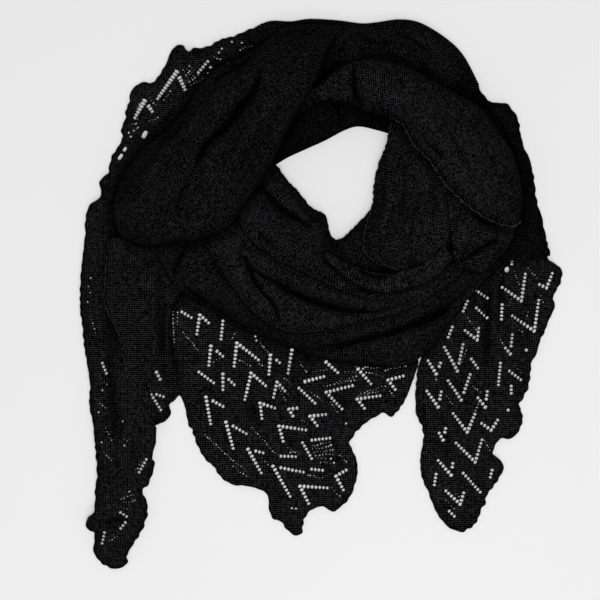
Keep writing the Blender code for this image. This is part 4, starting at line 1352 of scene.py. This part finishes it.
leftLobe = {
    "rows": [
        (286, 25, 344, 26, -1, 10, 12, 1),
        (272, 36, 334, 38, -3, 16, 20, 3),
        (256, 49, 327, 52, -2, 19, 26, 11),
        (235, 61, 318, 77, 0, 19, 32, 19),
        (212, 71, 304, 103, 0, 18, 33, 24),
        (197, 89, 290, 128, 0, 17, 34, 26),
        (184, 111, 277, 154, 0, 17, 34, 27),
        (165, 131, 262, 181, 0, 17, 35, 27),
        (141, 151, 245, 206, 0, 17, 36, 27),
        (123, 177, 229, 228, 0, 17, 36, 26),
        (115, 200, 204, 239, 0, 18, 34, 22),
        (114, 217, 178, 243, 2, 20, 30, 15),
        (120, 233, 156, 246, 2, 22, 25, 7),
        (131, 243, 143, 247, 0, 22, 22, 1),
    ],
    "folds": [
        (5, 5, [(204, 86), (226, 75), (243, 66), (256, 52), (266, 36)]),
        (14, 6, [(262, 66), (256, 90), (243, 107), (226, 129), (213, 140), (203, 154), (193, 174)]),
        (2.5, 7, [(246, 66), (212, 86), (180, 114)]),
        (3, 8, [(300, 84), (272, 128), (246, 176), (226, 206)]),
        (-3, 6, [(284, 84), (262, 118), (244, 146), (226, 176), (214, 208)]),
        (-3, 7, [(226, 96), (200, 118), (172, 146), (150, 178), (136, 212)]),
        (2.5, 6, [(200, 164), (188, 184), (178, 206), (174, 226)]),
    ],
    "leftRoll": 7,
    "rightRoll": 6,
    "flat": (0.24, 0.28),
    "area": 0.052,
    "restsOn": ["left_lace_edge", "left_drop", "cowl_lower_fold", "back_neck_band"],
}
layFold("leftLobeCloth", "left_lobe", leftLobe, midShadeKnit, 16)


print("Scarf: the layers that don't show")
hiddenLayers = {"keep": 0.72, "merge": 1e-5, "ripple": 0.6}


def packHiddenLayers():
    # the folded layers inside the heap, a little lower than the cloth that covers them
    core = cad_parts["hidden_folds"]
    mesh = core.data.copy()
    piece = bpy.data.objects.new("hiddenLayersCloth", mesh)
    bpy.context.scene.collection.objects.link(piece)
    selectOnly(piece)
    bpy.ops.object.mode_set(mode="EDIT")
    bpy.ops.mesh.select_all(action="SELECT")
    bpy.ops.mesh.remove_doubles(threshold=hiddenLayers["merge"])
    bpy.ops.mesh.normals_make_consistent(inside=False)
    bpy.ops.mesh.subdivide(number_cuts=1)
    bpy.ops.object.mode_set(mode="OBJECT")
    points = pointsOf(mesh)
    ripple = np.sin(points[:, 0] * 180) * np.cos(points[:, 1] * 150) * hiddenLayers["ripple"] * mm
    high = points[:, 2] > 1 * mm
    points[:, 2] = np.where(high, points[:, 2] * hiddenLayers["keep"] + ripple, points[:, 2])
    mesh.vertices.foreach_set("co", points.ravel())
    layer = mesh.uv_layers.get("cloth") or mesh.uv_layers.new(name="cloth")
    layer.data.foreach_set("uv", points[cornersOf(mesh)][:, :2].astype(np.float32).ravel())
    mesh.materials.clear()
    # painted shade: the hidden layers take the darkest copy of the knit
    mesh.materials.append(shadeKnit)
    mesh.shade_smooth()
    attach(piece, "root")
    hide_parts("hidden_folds")


packHiddenLayers()

print("Scarf: shade between the layers")
for cloth in cloths:
    shadeFromHeap(cloth)

print("Scarf: floor, light and camera")
studio = {
    "floorColour": (0.63, 0.63, 0.63),
    "floorGlow": 0.25,
    "floorRoughness": 0.9,
    "floorSpecular": 0.1,
    "clipEnd": 50,
    "view": (300, 300),
    "cameraHeight": 4.0,
    "sensor": 36,
    "frameUnits": 600,
    "skyStrength": 0.42,
    "floorSize": 8,
    "floorHeight": -0.0004,
    "lamps": (  # name, place, size and power
        ("softOverhead", (0.10, -0.35, 2.6), 1.0, 33),
        ("softFromBelow", (0.5, -1.9, 1.9), 0.9, 8),
    ),
}


def layFloor():
    bpy.ops.mesh.primitive_plane_add(size=studio["floorSize"], location=(0, 0, studio["floorHeight"]))
    floor = bpy.context.object
    floor.name = "floor"
    paper = bpy.data.materials.new("paleFloor")
    paper.use_nodes = True
    shader = paper.node_tree.nodes["Principled BSDF"]
    shader.inputs["Base Color"].default_value = (*studio["floorColour"], 1)
    shader.inputs["Roughness"].default_value = studio["floorRoughness"]
    shader.inputs["Specular IOR Level"].default_value = studio["floorSpecular"]
    shader.inputs["Emission Color"].default_value = (1, 1, 1, 1)
    shader.inputs["Emission Strength"].default_value = studio["floorGlow"]
    floor.data.materials.append(paper)


def areaLight(name, location, size, power):
    # a soft round lamp that points at the middle of the scarf
    data = bpy.data.lights.new(name, "AREA")
    data.shape = "DISK"
    data.size = size
    data.energy = power
    lamp = bpy.data.objects.new(name, data)
    lamp.location = location
    lamp.rotation_euler = (-Vector(location)).to_track_quat("-Z", "Y").to_euler()
    bpy.context.scene.collection.objects.link(lamp)


layFloor()
for lamp in studio["lamps"]:
    areaLight(*lamp)
sky = bpy.data.worlds.new("studioSky")
sky.use_nodes = True
sky.node_tree.nodes["Background"].inputs["Color"].default_value = (1, 1, 1, 1)
sky.node_tree.nodes["Background"].inputs["Strength"].default_value = studio["skyStrength"]
bpy.context.scene.world = sky
bpy.context.scene.view_settings.view_transform = "Standard"

eye = place([studio["view"]])[0]
cameraData = bpy.data.cameras.new("overhead")
cameraData.sensor_width = studio["sensor"]
cameraData.lens = studio["sensor"] * studio["cameraHeight"] / (studio["frameUnits"] * unit)
cameraData.clip_end = studio["clipEnd"]
camera = bpy.data.objects.new("overhead", cameraData)
camera.location = (eye[0], eye[1], studio["cameraHeight"])
bpy.context.scene.collection.objects.link(camera)
bpy.context.scene.camera = camera

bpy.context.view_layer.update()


print("Scarf: done")
